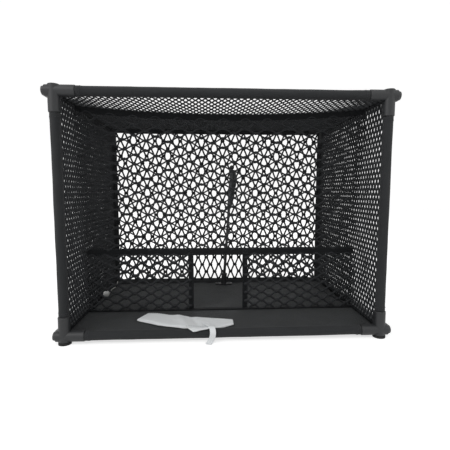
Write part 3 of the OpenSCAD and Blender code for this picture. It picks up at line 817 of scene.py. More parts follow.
def netting_panel(name, corner, across, up, width, height, mesh_w, mesh_h, twine, knot,
                  steps=4, sides=6, detail=2, slack=0.003, shape=None):
    """Netting that fills width by height from corner, with whole meshes between its edges."""
    settings = bpy.context.scene.chipnet_netting
    piece = grow(name, "netting", {
        "Width": width, "Height": height,
        "Half Meshes Across": max(2, round(2 * width / mesh_w)),
        "Half Meshes Up": max(2, round(2 * height / mesh_h)),
        "Steps": steps, "Twine Sides": sides, "Twine": twine, "Knot": knot, "Knot Detail": detail,
        "Slack": slack, "Seed": settings.seed + len(name) * 0.37, "Material": MATERIALS["twine"],
    })
    out = across.cross(up)
    for vertex in piece.data.vertices:
        u, v, w = vertex.co
        if shape:
            u, v, w = shape(u, v, w)
        vertex.co = corner + across * u + up * v + out * w
    return piece


def swell(u, v, width, height):
    """How far a panel bellies out at a place, from 0 at its edges to 1 in its middle."""
    return math.sin(math.pi * u / width) * math.sin(math.pi * v / height)


def lean_share(z):
    """0 where the target net stands upright, rising to 1 at its seam with the top net."""
    return max(0.0, (z - UPPER_LOW.z) / (HEAD_HIGH.z - UPPER_LOW.z))


def lean_y(z):
    """Where the target net stands at height z: upright at first, then leaning to the front."""
    return GATE_Y - lean_share(z) * (GATE_Y - BAND_THICK / 2 - HEAD_LOW.y)


def ceiling_sag(x, y):
    """How far the top net hangs through at a place, deepest where the target net pulls on it."""
    across = math.cos(math.pi * max(-1.0, min(1.0, x / HALF_W)) / 2)
    head_y = lean_y(HEAD_HIGH.z)
    if y < head_y:
        along = (y - FRONT_Y) / (head_y - FRONT_Y)
    else:
        along = (REAR_Y - y) / (REAR_Y - head_y)
    along = max(0.0, min(1.0, along))
    return bpy.context.scene.chipnet_netting.sag * across ** 0.7 * along ** 0.8


# ---- operators ----

class CHIPNET_OT_camera(bpy.types.Operator):
    """Place the camera at the open mouth of the net"""
    bl_idname = "chipnet.camera"
    bl_label = "Camera"

    def execute(self, context):
        yaw, pitch = math.radians(3.11), math.radians(5.44)
        data = bpy.data.cameras.new("camera")
        data.lens = 28.0
        data.sensor_width = 36.0
        camera = bpy.data.objects.new("camera", data)
        camera.location = (-0.037, -0.848, 0.287)
        camera.rotation_euler = (math.pi / 2 - pitch, 0.0, -yaw)
        context.scene.collection.objects.link(camera)
        context.scene.camera = camera
        return {"FINISHED"}


# Route of the elastic cord, from inside the ball to the rear left elbow, in millimetres
CORD_ROUTE = [
    (-295, 54, 24.4), (-295, 59, 24.25), (-295, 64, 22.9), (-295, 70, 20.2), (-295.5, 76, 18.5),
    (-296, 82, 17.8), (-297, 89, 17.7), (-297.5, 97, 17.7), (-298, 105, 17.7), (-297.5, 113, 17.7),
    (-297, 121, 17.7), (-296, 128, 17.7), (-295, 136, 17.7), (-294.5, 144, 17.7), (-294.5, 152, 17.7),
    (-295, 160, 17.8), (-296, 167, 18.2), (-297.5, 173, 19.2), (-298.5, 178, 20.5), (-299, 183, 22),
]


class CHIPNET_OT_ball_tie(bpy.types.Operator):
    """Make the elastic cord and its ball"""
    bl_idname = "chipnet.ball_tie"
    bl_label = "Ball Tie"

    def execute(self, context):
        route = [Vector(p) * MM for p in CORD_ROUTE]
        route.reverse()
        section = [
            (CORD_D / 2 * math.cos(math.tau * k / 10), CORD_D / 2 * math.sin(math.tau * k / 10))
            for k in range(10)
        ]
        path = smooth_path(route, 4)
        cord = sweep_section("elastic_cord", path, [Z_AXIS] * len(path), section)
        ball = self.ball()
        dress(ball, "ball", "tie_ball", ["tie_ball"])
        dress(cord, "white_cord", "rear_frame", ["tie_cord"])
        gather(cord)
        return {"FINISHED"}

    def ball(self):
        """Moulded ball with a fine parting line and a countersunk hole for the cord."""
        low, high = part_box("tie_ball")
        centre, radius = (low + high) / 2, (high.z - low.z) / 2
        rings, sides = 28, 40
        hole = 0.1 * math.pi
        profile = [(CORD_D * 0.56, radius * 0.3), (CORD_D * 0.58, radius * 0.86)]
        for i in range(rings + 1):
            angle = hole + (math.pi - hole) * i / rings
            on_seam = abs(angle - math.pi / 2) < 0.06
            r = radius - 0.00012 if on_seam else radius
            profile.append((r * math.sin(angle), r * math.cos(angle)))
        vertices = []
        for r, along in profile:
            for k in range(sides):
                turn = math.tau * k / sides
                vertices.append(centre + Vector((r * math.cos(turn), along, r * math.sin(turn))))
        faces = tube_faces(len(profile), sides)
        faces.append(tuple(range(sides)))
        piece = mesh_object("cord_ball", vertices, faces)
        return face_outwards(piece, MERGE)


class CHIPNET_OT_stage(bpy.types.Operator):
    """Make the pale floor and the soft studio light"""
    bl_idname = "chipnet.stage"
    bl_label = "Stage"

    def execute(self, context):
        self.backdrop(context.scene.chipnet_colours.backdrop)
        self.world(context.scene)
        lamps = [
            ("key", (-2.0, -1.8, 2.0), 1.6, 33.0),
            ("fill", (1.9, -1.2, 1.5), 2.2, 8.0),
            ("rear", (0.4, 2.4, 2.2), 2.4, 14.0),
        ]
        for name, place, size, power in lamps:
            data = bpy.data.lights.new(name, "AREA")
            data.energy = power
            data.size = size
            lamp = bpy.data.objects.new(name, data)
            lamp.location = place
            aim = Vector((0, 0, 0.2)) - Vector(place)
            lamp.rotation_euler = aim.to_track_quat("-Z", "Y").to_euler()
            context.scene.collection.objects.link(lamp)
        return {"FINISHED"}

    def backdrop(self, level):
        """A floor that curves up into a wall far behind, whitened for the camera."""
        half, bend, tall = 6.0, 1.5, 6.0
        rows = [(-half, 0.0), (half - bend, 0.0)]
        for i in range(1, 13):
            angle = math.pi / 2 * i / 12
            rows.append((half - bend + bend * math.sin(angle), bend - bend * math.cos(angle)))
        rows.append((half, tall))
        vertices = [(x, y, z) for y, z in rows for x in (-half, half)]
        faces = [(2 * i, 2 * i + 1, 2 * i + 3, 2 * i + 2) for i in range(len(rows) - 1)]
        floor = mesh_object("backdrop", vertices, faces)
        material, tree = new_material("backdrop_white")
        blotch = tree.get("ShaderNodeTexNoise", {"Scale": 1.5, "Detail": 2.0})
        colour = tree.mix_colour(blotch, rgba((level,) * 3, 0.99), rgba((level,) * 3, 1.01))
        matt = tree.get("ShaderNodeBsdfDiffuse", {"Color": colour})
        lift = tree.get("ShaderNodeEmission", {
            "Color": (1, 1, 1, 1), "Strength": tree.math("MULTIPLY", tree.seen_plainly(), 0.66)})
        whole = tree.get("ShaderNodeAddShader", {0: matt, 1: lift})
        tree.add("ShaderNodeOutputMaterial", {"Surface": whole})
        floor.data.materials.append(material)

    def world(self, scene):
        """Even light from all round, white where the camera sees it."""
        world = bpy.data.worlds.new("studio")
        world.use_nodes = True
        world.node_tree.nodes.clear()
        tree = ShaderTree(world.node_tree)
        strength = tree.ramp(tree.seen_plainly(), 0.0, 1.0, 0.62, 1.0)
        light = tree.get("ShaderNodeBackground", {"Color": (1, 1, 1, 1), "Strength": strength})
        tree.add("ShaderNodeOutputWorld", {"Surface": light})
        scene.world = world


class CHIPNET_OT_hardware(bpy.types.Operator):
    """Finish the tubes, elbows, feet, links, rivets and the parts of the flagstick"""
    bl_idname = "chipnet.hardware"
    bl_label = "Hardware"

    FINISHES = {
        "black_tube": "coat", "black_nylon": "nylon", "foot_rubber": "rubber",
        "black_link": "coat", "rivet_steel": "zinc", "washer_nylon": "washer",
        "screw_steel": "screw", "pole_black": "pole",
    }

    def execute(self, context):
        slots = {s["node"]: s["material_slot"] for s in frame["record"]["subparts"]}
        for name, node in frame["nodes"].items():
            finish = self.FINISHES.get(slots[name])
            if finish is None:
                continue
            node.data.materials.clear()
            node.data.materials.append(MATERIALS[finish])
        return {"FINISHED"}


class CHIPNET_OT_sleeves(bpy.types.Operator):
    """Make the cloth sleeves around the tubes, with their seam fins and stitches"""
    bl_idname = "chipnet.sleeves"
    bl_label = "Sleeves"

    SIDES = 26
    RING_STEP = 0.004
    HEM = 0.009

    def execute(self, context):
        rear_fins = {"up": [-X_AXIS, -Y_AXIS], "across": [Z_AXIS, -Y_AXIS]}
        front_fins = {"up": [Y_AXIS], "across": [Y_AXIS]}
        self.hoop("rear", REAR_Y, rear_fins)
        self.hoop("front", FRONT_Y, front_fins)
        return {"FINISHED"}

    def hoop(self, name, y, fins):
        """The four sleeves of a hoop. fins gives the directions of the fins of a right upright and
        of the lower tube, and the other two are their mirror images."""
        elbow_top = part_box(name + "_lower_elbows")[1].z
        inset = elbow_top - BASE_Z + 0.0008
        low_z, high_z = BASE_Z + inset, TOP_Z - inset
        side_x = HALF_W - inset
        cloth, thread = [], []
        for side in (-1, 1):
            start = Vector((side * HALF_W, y, low_z))
            end = Vector((side * HALF_W, y, high_z))
            directions = [Vector((side * d.x, d.y, d.z)) for d in fins["up"]]
            cloth.append(self.sleeve(f"{name}_sleeve_up{side}", start, end, directions, side))
            thread += self.seams(start, end, directions)
        for level in (0, 1):
            z = TOP_Z if level else BASE_Z
            start, end = Vector((-side_x, y, z)), Vector((side_x, y, z))
            directions = [Vector((d.x, d.y, -d.z if level else d.z)) for d in fins["across"]]
            cloth.append(self.sleeve(f"{name}_sleeve_across{level}", start, end, directions, 5 + level))
            thread += self.seams(start, end, directions)
        piece = join_pieces(name + "_sleeve_cloth", cloth)
        dress(piece, "sleeve", name + "_frame", [name + "_sleeves"])
        stitches = stitch_lines(name + "_sleeve_stitches", thread)
        dress(stitches, "thread", name + "_frame")

    def section(self, start, end, directions):
        """Angles and radii round the tube, with a narrow fin towards each direction."""
        axis = (end - start).normalized()
        first = directions[0] - axis * directions[0].dot(axis)
        second = axis.cross(first)
        fin_angles = [math.atan2(d.dot(second), d.dot(first)) % math.tau for d in directions]
        points = []
        for k in range(self.SIDES):
            angle = math.tau * k / self.SIDES
            gaps = [abs((angle - f + math.pi) % math.tau - math.pi) for f in fin_angles]
            if min(gaps) > 0.15:
                points.append((angle, 0.0))
        for f in fin_angles:
            points += [((f - 0.13) % math.tau, 0.0), ((f - 0.085) % math.tau, 1.0),
                       (f, 1.15), ((f + 0.085) % math.tau, 1.0), ((f + 0.13) % math.tau, 0.0)]
        points.sort(key=lambda p: p[0])
        return axis, first, second, points

    def sleeve(self, name, start, end, directions, seed):
        """A sleeve with its fins, folds and hems, turned in to the tube at both ends."""
        axis, first, second, points = self.section(start, end, directions)
        length = (end - start).length
        rings = int(length / self.RING_STEP)
        stations = [(length * i / rings, False) for i in range(rings + 1)]
        stations = [(0.0, True), *stations, (length, True)]
        fin_reach = SEAM_R - SLEEVE_R + 0.0006
        vertices, uvs = [], []
        for s, turned_in in stations:
            hem = 1.0 if min(s, length - s) < self.HEM else 0.0
            for angle, fin in points:
                fold = noise.noise(Vector((angle * 1.6 + seed * 9, s * 24, seed * 3.7)))
                pucker = noise.noise(Vector((angle * 5, s * 160, seed))) * 0.16
                radius = SLEEVE_R - 0.00035 + 0.00045 * fold + 0.0004 * pucker + 0.00035 * hem
                radius += fin * fin_reach
                if turned_in:
                    radius = TUBE_R + 0.0001
                vertices.append(
                    start + axis * s + first * (radius * math.cos(angle))
                    + second * (radius * math.sin(angle)))
        ring = len(points)
        for i in range(len(stations) - 1):
            for k in range(ring):
                u0 = points[k][0] * SLEEVE_R
                u1 = (points[k + 1][0] if k < ring - 1 else math.tau) * SLEEVE_R
                v0, v1 = stations[i][0], stations[i + 1][0]
                uvs += [(u0, v0), (u1, v0), (u1, v1), (u0, v1)]
        return mesh_object(name, vertices, tube_faces(len(stations), ring), uvs)

    def seams(self, start, end, directions):
        """Stitch lines along each fin, on both of its faces, and one round each hem."""
        axis = (end - start).normalized()
        lines = []
        for direction in directions:
            side = axis.cross(direction)
            for face in (-1, 1):
                offset = direction * (SEAM_R - 0.0011) + side * (face * 0.0011)
                lines.append([start + offset + axis * self.HEM, end + offset - axis * self.HEM])
        first = directions[0]
        second = axis.cross(first)
        radius = SLEEVE_R + 0.0003
        for place in (start + axis * (self.HEM - 0.002), end - axis * (self.HEM - 0.002)):
            lines.append([
                place + first * radius * math.cos(math.tau * k / 24)
                + second * radius * math.sin(math.tau * k / 24) for k in range(2, 23)])
        return lines


class CHIPNET_OT_back_net(bpy.types.Operator):
    """Knot the back net"""
    bl_idname = "chipnet.back_net"
    bl_label = "Back Net"

    def execute(self, context):
        s = context.scene.chipnet_netting
        corner = Vector((NET_LOW.x - SEAM_REACH, REAR_Y, NET_LOW.z - SEAM_REACH))
        width = NET_HIGH.x - NET_LOW.x + 2 * SEAM_REACH
        height = NET_HIGH.z - NET_LOW.z + 2 * SEAM_REACH

        def belly(u, v, w):
            return u, v, w - 0.004 * swell(u, v, width, height)

        piece = netting_panel(
            "back_netting", corner, X_AXIS, Z_AXIS, width, height, s.back_mesh_w, s.back_mesh_h,
            s.back_twine, s.back_twine * 2.2, shape=belly)
        dress(piece, "twine", "rear_frame", ["back_net"])
        return {"FINISHED"}


class CHIPNET_OT_side_nets(bpy.types.Operator):
    """Knot the close netting of the sides and the top, and bind its seams"""
    bl_idname = "chipnet.side_nets"
    bl_label = "Side And Top Nets"

    def execute(self, context):
        s = context.scene.chipnet_netting
        depth = SIDE_HIGH.y - SIDE_LOW.y + 2 * SEAM_REACH
        height = TOP_Z - BASE_Z
        knot = s.side_twine * 1.75
        for name, side in (("left", -1), ("right", 1)):
            corner = Vector((side * HALF_W, SIDE_LOW.y - SEAM_REACH, BASE_Z))

            def belly(u, v, w, side=side):
                return u, v, w + side * 0.003 * swell(u, v, depth, height)

            piece = netting_panel(
                name + "_side_netting", corner, Y_AXIS, Z_AXIS, depth, height, s.side_mesh_w,
                s.side_mesh_h, s.side_twine, knot, steps=3, sides=5, detail=1, slack=0.002,
                shape=belly)
            dress_box(piece, "twine", [name + "_side_net"])
        width = 2 * HALF_W
        corner = Vector((-HALF_W, SIDE_LOW.y - SEAM_REACH, TOP_Z))

        def hang(u, v, w):
            return u, v, w - ceiling_sag(u - HALF_W, v + SIDE_LOW.y)

        piece = netting_panel(
            "top_netting", corner, X_AXIS, Y_AXIS, width, depth, s.top_mesh_w, s.top_mesh_h,
            s.top_twine, s.top_twine * 1.75, steps=3, sides=5, detail=1, slack=0.002, shape=hang)
        dress_box(piece, "twine", ["top_net"])
        self.seam_tapes()
        return {"FINISHED"}

    def seam_tapes(self):
        """Tape folded over the raw edges where the side nets meet the top net and the floor."""
        fold = 0.0016
        tape_h = 0.008
        parts, lines = [], []
        for side in (-1, 1):
            for level, z in ((-1, BASE_Z), (1, TOP_Z)):
                out_x = side * (HALF_W + fold)
                in_x = side * (HALF_W - fold)
                edge_z = z + level * fold
                section = [
                    (in_x, z - level * tape_h), (in_x, z), (in_x + side * fold * 0.6, edge_z),
                    (out_x, z + level * fold * 0.5), (out_x, z - level * tape_h),
                    (out_x - side * 0.0007, z - level * tape_h),
                    (out_x - side * 0.0007, z - level * 0.0004),
                    (in_x + side * 0.0007, z - level * 0.0004),
                    (in_x + side * 0.0007, z - level * tape_h),
                ]
                middle = Vector((side * HALF_W, 0, z))
                local = [(x - middle.x, h - middle.z) for x, h in section]
                path = straight_path(
                    Vector((middle.x, SIDE_LOW.y, z)), Vector((middle.x, SIDE_HIGH.y, z)), 70,
                    0.0008, X_AXIS, side * 3.0 + level)
                tape = sweep_section(
                    f"tape{side}{level}", path, [X_AXIS] * len(path), [(x, -h) for x, h in local])
                parts.append(tape)
                for x in (out_x + side * 0.0002, in_x - side * 0.0002):
                    lines.append([
                        Vector((x, SIDE_LOW.y + 0.002, z - level * tape_h * 0.72)),
                        Vector((x, SIDE_HIGH.y - 0.002, z - level * tape_h * 0.72))])
        piece = join_pieces("side_seam_tapes", parts)
        dress_box(piece, "webbing", ["seam_tapes"])
        stitches = stitch_lines("side_seam_stitches", lines)
        dress_box(stitches, "thread")


class CHIPNET_OT_target_net(bpy.types.Operator):
    """Knot the target net and make the webbing around it and its window"""
    bl_idname = "chipnet.target_net"
    bl_label = "Target Net"

    # The left net beside the window is bunched up towards its wall around one place
    BUNCH, BUNCH_AT, BUNCH_W = 0.0105, 0.0537, 0.03

    def execute(self, context):
        self.upper_net(context.scene.chipnet_netting)
        self.lower_nets(context.scene.chipnet_netting)
        self.bands()
        return {"FINISHED"}

    def sagged(self, x, z):
        """Height of a point of the leaning net once the ceiling seam has pulled down."""
        return z - lean_share(z) * ceiling_sag(x, lean_y(HEAD_HIGH.z))

    def upper_net(self, s):
        width = UPPER_HIGH.x - UPPER_LOW.x + 2 * 0.0006
        height = HEAD_LOW.z - UPPER_LOW.z + 2 * BAND_REACH
        corner = Vector((-width / 2, GATE_Y, UPPER_LOW.z - BAND_REACH))

        def lean(u, v, w):
            x, z = u - width / 2, UPPER_LOW.z - BAND_REACH + v
            up = self.sagged(x, z) - UPPER_LOW.z + BAND_REACH
            return u, up, w + GATE_Y - lean_y(z) - 0.006 * swell(u, v, width, height)

        piece = netting_panel(
            "target_netting", corner, X_AXIS, Z_AXIS, width, height, s.target_mesh_w,
            s.target_mesh_h, s.target_twine, s.target_twine * 2.3, slack=0.004, shape=lean)
        dress_box(piece, "twine", ["target_upper_net"])

    def lower_nets(self, s):
        for name in ("left", "right"):
            low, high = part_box(f"target_{name}_net")
            width = high.x - low.x + 2 * BAND_REACH
            height = high.z - low.z + 2 * BAND_REACH
            corner = Vector((low.x - BAND_REACH, GATE_Y, low.z - BAND_REACH))

            def belly(u, v, w, name=name, width=width, height=height):
                out = w - 0.003 * swell(u, v, width, height)
                if name == "left":
                    u -= self.BUNCH * math.exp(-((u - self.BUNCH_AT) / self.BUNCH_W) ** 2)
                return u, v, out

            piece = netting_panel(
                f"target_{name}_netting", corner, X_AXIS, Z_AXIS, width, height, s.strip_mesh_w,
                s.strip_mesh_h, s.strip_twine, s.strip_twine * 2.0, slack=0.003, shape=belly)
            dress_box(piece, "twine", [f"target_{name}_net"])

    def bands(self):
        """The webbing over the window, its two posts, and the webbing on the floor and ceiling."""
        edge_x = BAND_HIGH.x
        band_w = BAND_HIGH.z - BAND_LOW.z
        mid_z = (BAND_LOW.z + BAND_HIGH.z) / 2
        path = straight_path(
            Vector((-edge_x, GATE_Y, mid_z)), Vector((edge_x, GATE_Y, mid_z)), 90, 0.0016, Z_AXIS, 2.0)
        cross = strap("window_webbing", path, Z_AXIS, band_w, BAND_THICK)
        dress_box(cross, "webbing", ["cross_band"])

        posts = []
        for x in (POST_LOW.x + POST_W / 2, POST_HIGH.x - POST_W / 2):
            path = straight_path(
                Vector((x, GATE_Y, POST_LOW.z)), Vector((x, GATE_Y, POST_HIGH.z)), 26, 0.0012,
                X_AXIS, x * 80)
            posts.append(strap(f"post{len(posts)}", path, X_AXIS, POST_W, BAND_THICK))
        piece = join_pieces("window_posts", posts)
        dress_box(piece, "webbing", ["post_bands"])

        foot_w, foot_thick = FOOT_HIGH.y - FOOT_LOW.y, FOOT_HIGH.z - FOOT_LOW.z
        foot_z = (FOOT_LOW.z + FOOT_HIGH.z) / 2
        path = straight_path(
            Vector((-edge_x, GATE_Y, foot_z)), Vector((edge_x, GATE_Y, foot_z)), 90, 0.0014, Y_AXIS, 8.0)
        foot = strap("floor_webbing", path, Y_AXIS, foot_w, foot_thick)
        dress_box(foot, "webbing", ["foot_band"])

        head_w = HEAD_HIGH.z - HEAD_LOW.z
        head_y, head_z = lean_y(HEAD_HIGH.z - head_w / 2), HEAD_HIGH.z - head_w / 2
        steps = 90
        path = []
        for i in range(steps + 1):
            x = -edge_x + 2 * edge_x * i / steps
            path.append(Vector((x, head_y, self.sagged(x, head_z))))
        slope = Vector((0, lean_y(HEAD_HIGH.z) - lean_y(HEAD_LOW.z), head_w)).normalized()
        head = strap("ceiling_webbing", path, slope, head_w, BAND_THICK)
        dress_box(head, "webbing", ["head_band"])
        self.band_stitches(edge_x, mid_z, band_w)

    def band_stitches(self, edge_x, mid_z, band_w):
        """Two rows along the cross webbing and a crossed box where each post is sewn on."""
        lines = []
        for face in (-1, 1):
            y = GATE_Y + face * (BAND_THICK / 2 + 0.0002)
            for dz in (-band_w / 2 + 0.0025, band_w / 2 - 0.0025):
                lines.append([Vector((-edge_x, y, mid_z + dz)), Vector((edge_x, y, mid_z + dz))])
            for post_x in (POST_LOW.x, POST_HIGH.x - POST_W):
                x0, x1 = post_x + 0.0015, post_x + POST_W - 0.0015
                z0, z1 = BAND_LOW.z + 0.004, BAND_HIGH.z - 0.004
                box_line = [(x0, z0), (x1, z0), (x1, z1), (x0, z1), (x0, z0), (x1, z1)]
                lines.append([Vector((x, y, z)) for x, z in box_line])
                lines.append([Vector((x1, y, z0)), Vector((x0, y, z1))])
                for x in (x0, x1):
                    lines.append([
                        Vector((x, y, POST_LOW.z + 0.002)), Vector((x, y, POST_HIGH.z - 0.002))])
        stitches = stitch_lines("target_stitches", lines, 0.0046, 0.0032, 0.0008)
        dress_box(stitches, "thread")


class CHIPNET_OT_floor_cloth(bpy.types.Operator):
    """Lay the floor cloth with its stitched seams"""
    bl_idname = "chipnet.floor_cloth"
    bl_label = "Floor Cloth"

    def execute(self, context):
        low, high = FLOOR_LOW, FLOOR_HIGH
        size = (high.x - low.x, high.y - low.y)

        def place(u, v):
            """A point of the cloth, with small waves and puckers towards its seams."""
            x, y = low.x + u * size[0], low.y + v * size[1]
            edge = min(u, 1 - u, (1 - v) * 0.6, v * 0.6)
            pull = math.sin(x * 95 + 2.2 * noise.noise(Vector((x * 9, 1.7, 0)))) * math.exp(-edge * 26)
            wave = noise.noise(Vector((x * 7, y * 11, 4.2)))
            fine = noise.noise(Vector((x * 26, y * 34, 9.1)))
            z = BASE_Z + 0.0007 * wave + 0.0003 * fine + 0.0007 * pull
            return Vector((x, y, min(z, BASE_Z + 0.0006)))

        piece = grid_surface("floor_cloth_sheet", 190, 110, place, size, 0.0008)
        dress(piece, "floor_cloth", "rear_frame", ["floor_cloth"])
        gather(piece)
        lines = []
        for y in (low.y + 0.006, high.y - 0.006):
            lines.append([Vector((low.x, y, BASE_Z + 0.0012)), Vector((high.x, y, BASE_Z + 0.0012))])
        stitches = stitch_lines("floor_stitches", lines)
        dress_box(stitches, "thread")
        return {"FINISHED"}


class CHIPNET_OT_flag(bpy.types.Operator):
    """Hang the limp flag with its folds"""
    bl_idname = "chipnet.flag"
    bl_label = "Flag"

    # Free edge of the hanging cloth: (height from the bottom, share of the full reach)
    FLAG_EDGE = [
        (0.0, 0.16), (0.1, 0.3), (0.26, 0.44), (0.45, 0.46), (0.6, 0.62), (0.76, 0.56), (0.9, 0.44),
        (1.0, 0.36),
    ]

    def share_between(self, edge, v):
        """The edge's share at height v, turning softly from point to point."""
        for (v0, share0), (v1, share1) in zip(edge, edge[1:]):
            if v <= v1:
                mix = 0.5 - 0.5 * math.cos(math.pi * (v - v0) / (v1 - v0))
                return share0 + (share1 - share0) * mix
        return edge[-1][1]

    def execute(self, context):
        # The flag's box turned back upright beside the leaning flagstick
        sine, cosine = STICK_DIR.x, STICK_DIR.z
        box_w, box_h = FLAG_HIGH.x - FLAG_LOW.x, FLAG_HIGH.z - FLAG_LOW.z
        scale = cosine ** 2 - sine ** 2
        tall = (box_h * cosine - box_w * sine) / scale
        full_w = (box_w * cosine - box_h * sine) / scale
        middle = STICK_TURN.inverted() @ ((FLAG_LOW + FLAG_HIGH) / 2 - STICK_AT)
        base = middle.z - tall / 2
        hem_outer = (FLAG_HIGH.y - FLAG_LOW.y) / 2
        hem_r = hem_outer - 0.0004
        reach = full_w - hem_outer
        around, folds = 22, 46
        wrap = math.tau * 0.94

        def fullness(v):
            """How far the limp cloth stands out at height v, as a share of its reach."""
            return self.share_between(self.FLAG_EDGE, v)

        def outline(v):
            """Plan of the cloth at height v: once round the pole, then out in limp folds."""
            points = []
            for i in range(around + 1):
                angle = wrap * (1 - i / around) + 0.03 * math.pi
                points.append(Vector((hem_r * math.cos(angle), hem_r * math.sin(angle), 0)))
            low = 1 - v
            for i in range(1, folds + 1):
                t = i / folds
                depth = 0.0006 + 0.0034 * min(1.0, 0.25 + low) * math.sin(math.pi * min(1, t * 1.2)) ** 0.5
                swing = math.sin(t * math.pi * 5 + 0.8 * low) * depth
                along = hem_r + (reach - hem_r - 0.0006) * t * fullness(v)
                points.append(Vector((along, swing + 0.0006 * math.sin(9 * low + t * 3), 0)))
            return points

        rows = 40
        columns = len(outline(0.0)) - 1
        plans = [outline(j / rows) for j in range(rows + 1)]

        def place(u, v):
            i, j = round(u * columns), round(v * rows)
            point = plans[j][i]
            t = max(0.0, (i - around) / folds)
            hang = 0.006 * t * (1 - v) * math.sin(t * 7 + 1)
            z = base + 0.0008 + (tall - 0.0016) * v + max(0.0, hang)
            return STICK_AT + STICK_TURN @ Vector((point.x, point.y, z))

        flat_w = sum((b - a).length for a, b in zip(plans[rows // 2], plans[rows // 2][1:]))
        piece = grid_surface("flag_cloth", columns, rows, place, (flat_w, tall), 0.0006)
        dress(piece, "flag", "flag", ["flag"])
        line = [
            STICK_AT + STICK_TURN @ Vector((hem_r + 0.0012, -0.0008, z))
            for z in (base + 0.003, base + tall - 0.003)]
        stitches = stitch_lines("flag_stitches", [line], 0.004, 0.0028, 0.0006)
        dress(stitches, "thread", "flag")
        return {"FINISHED"}


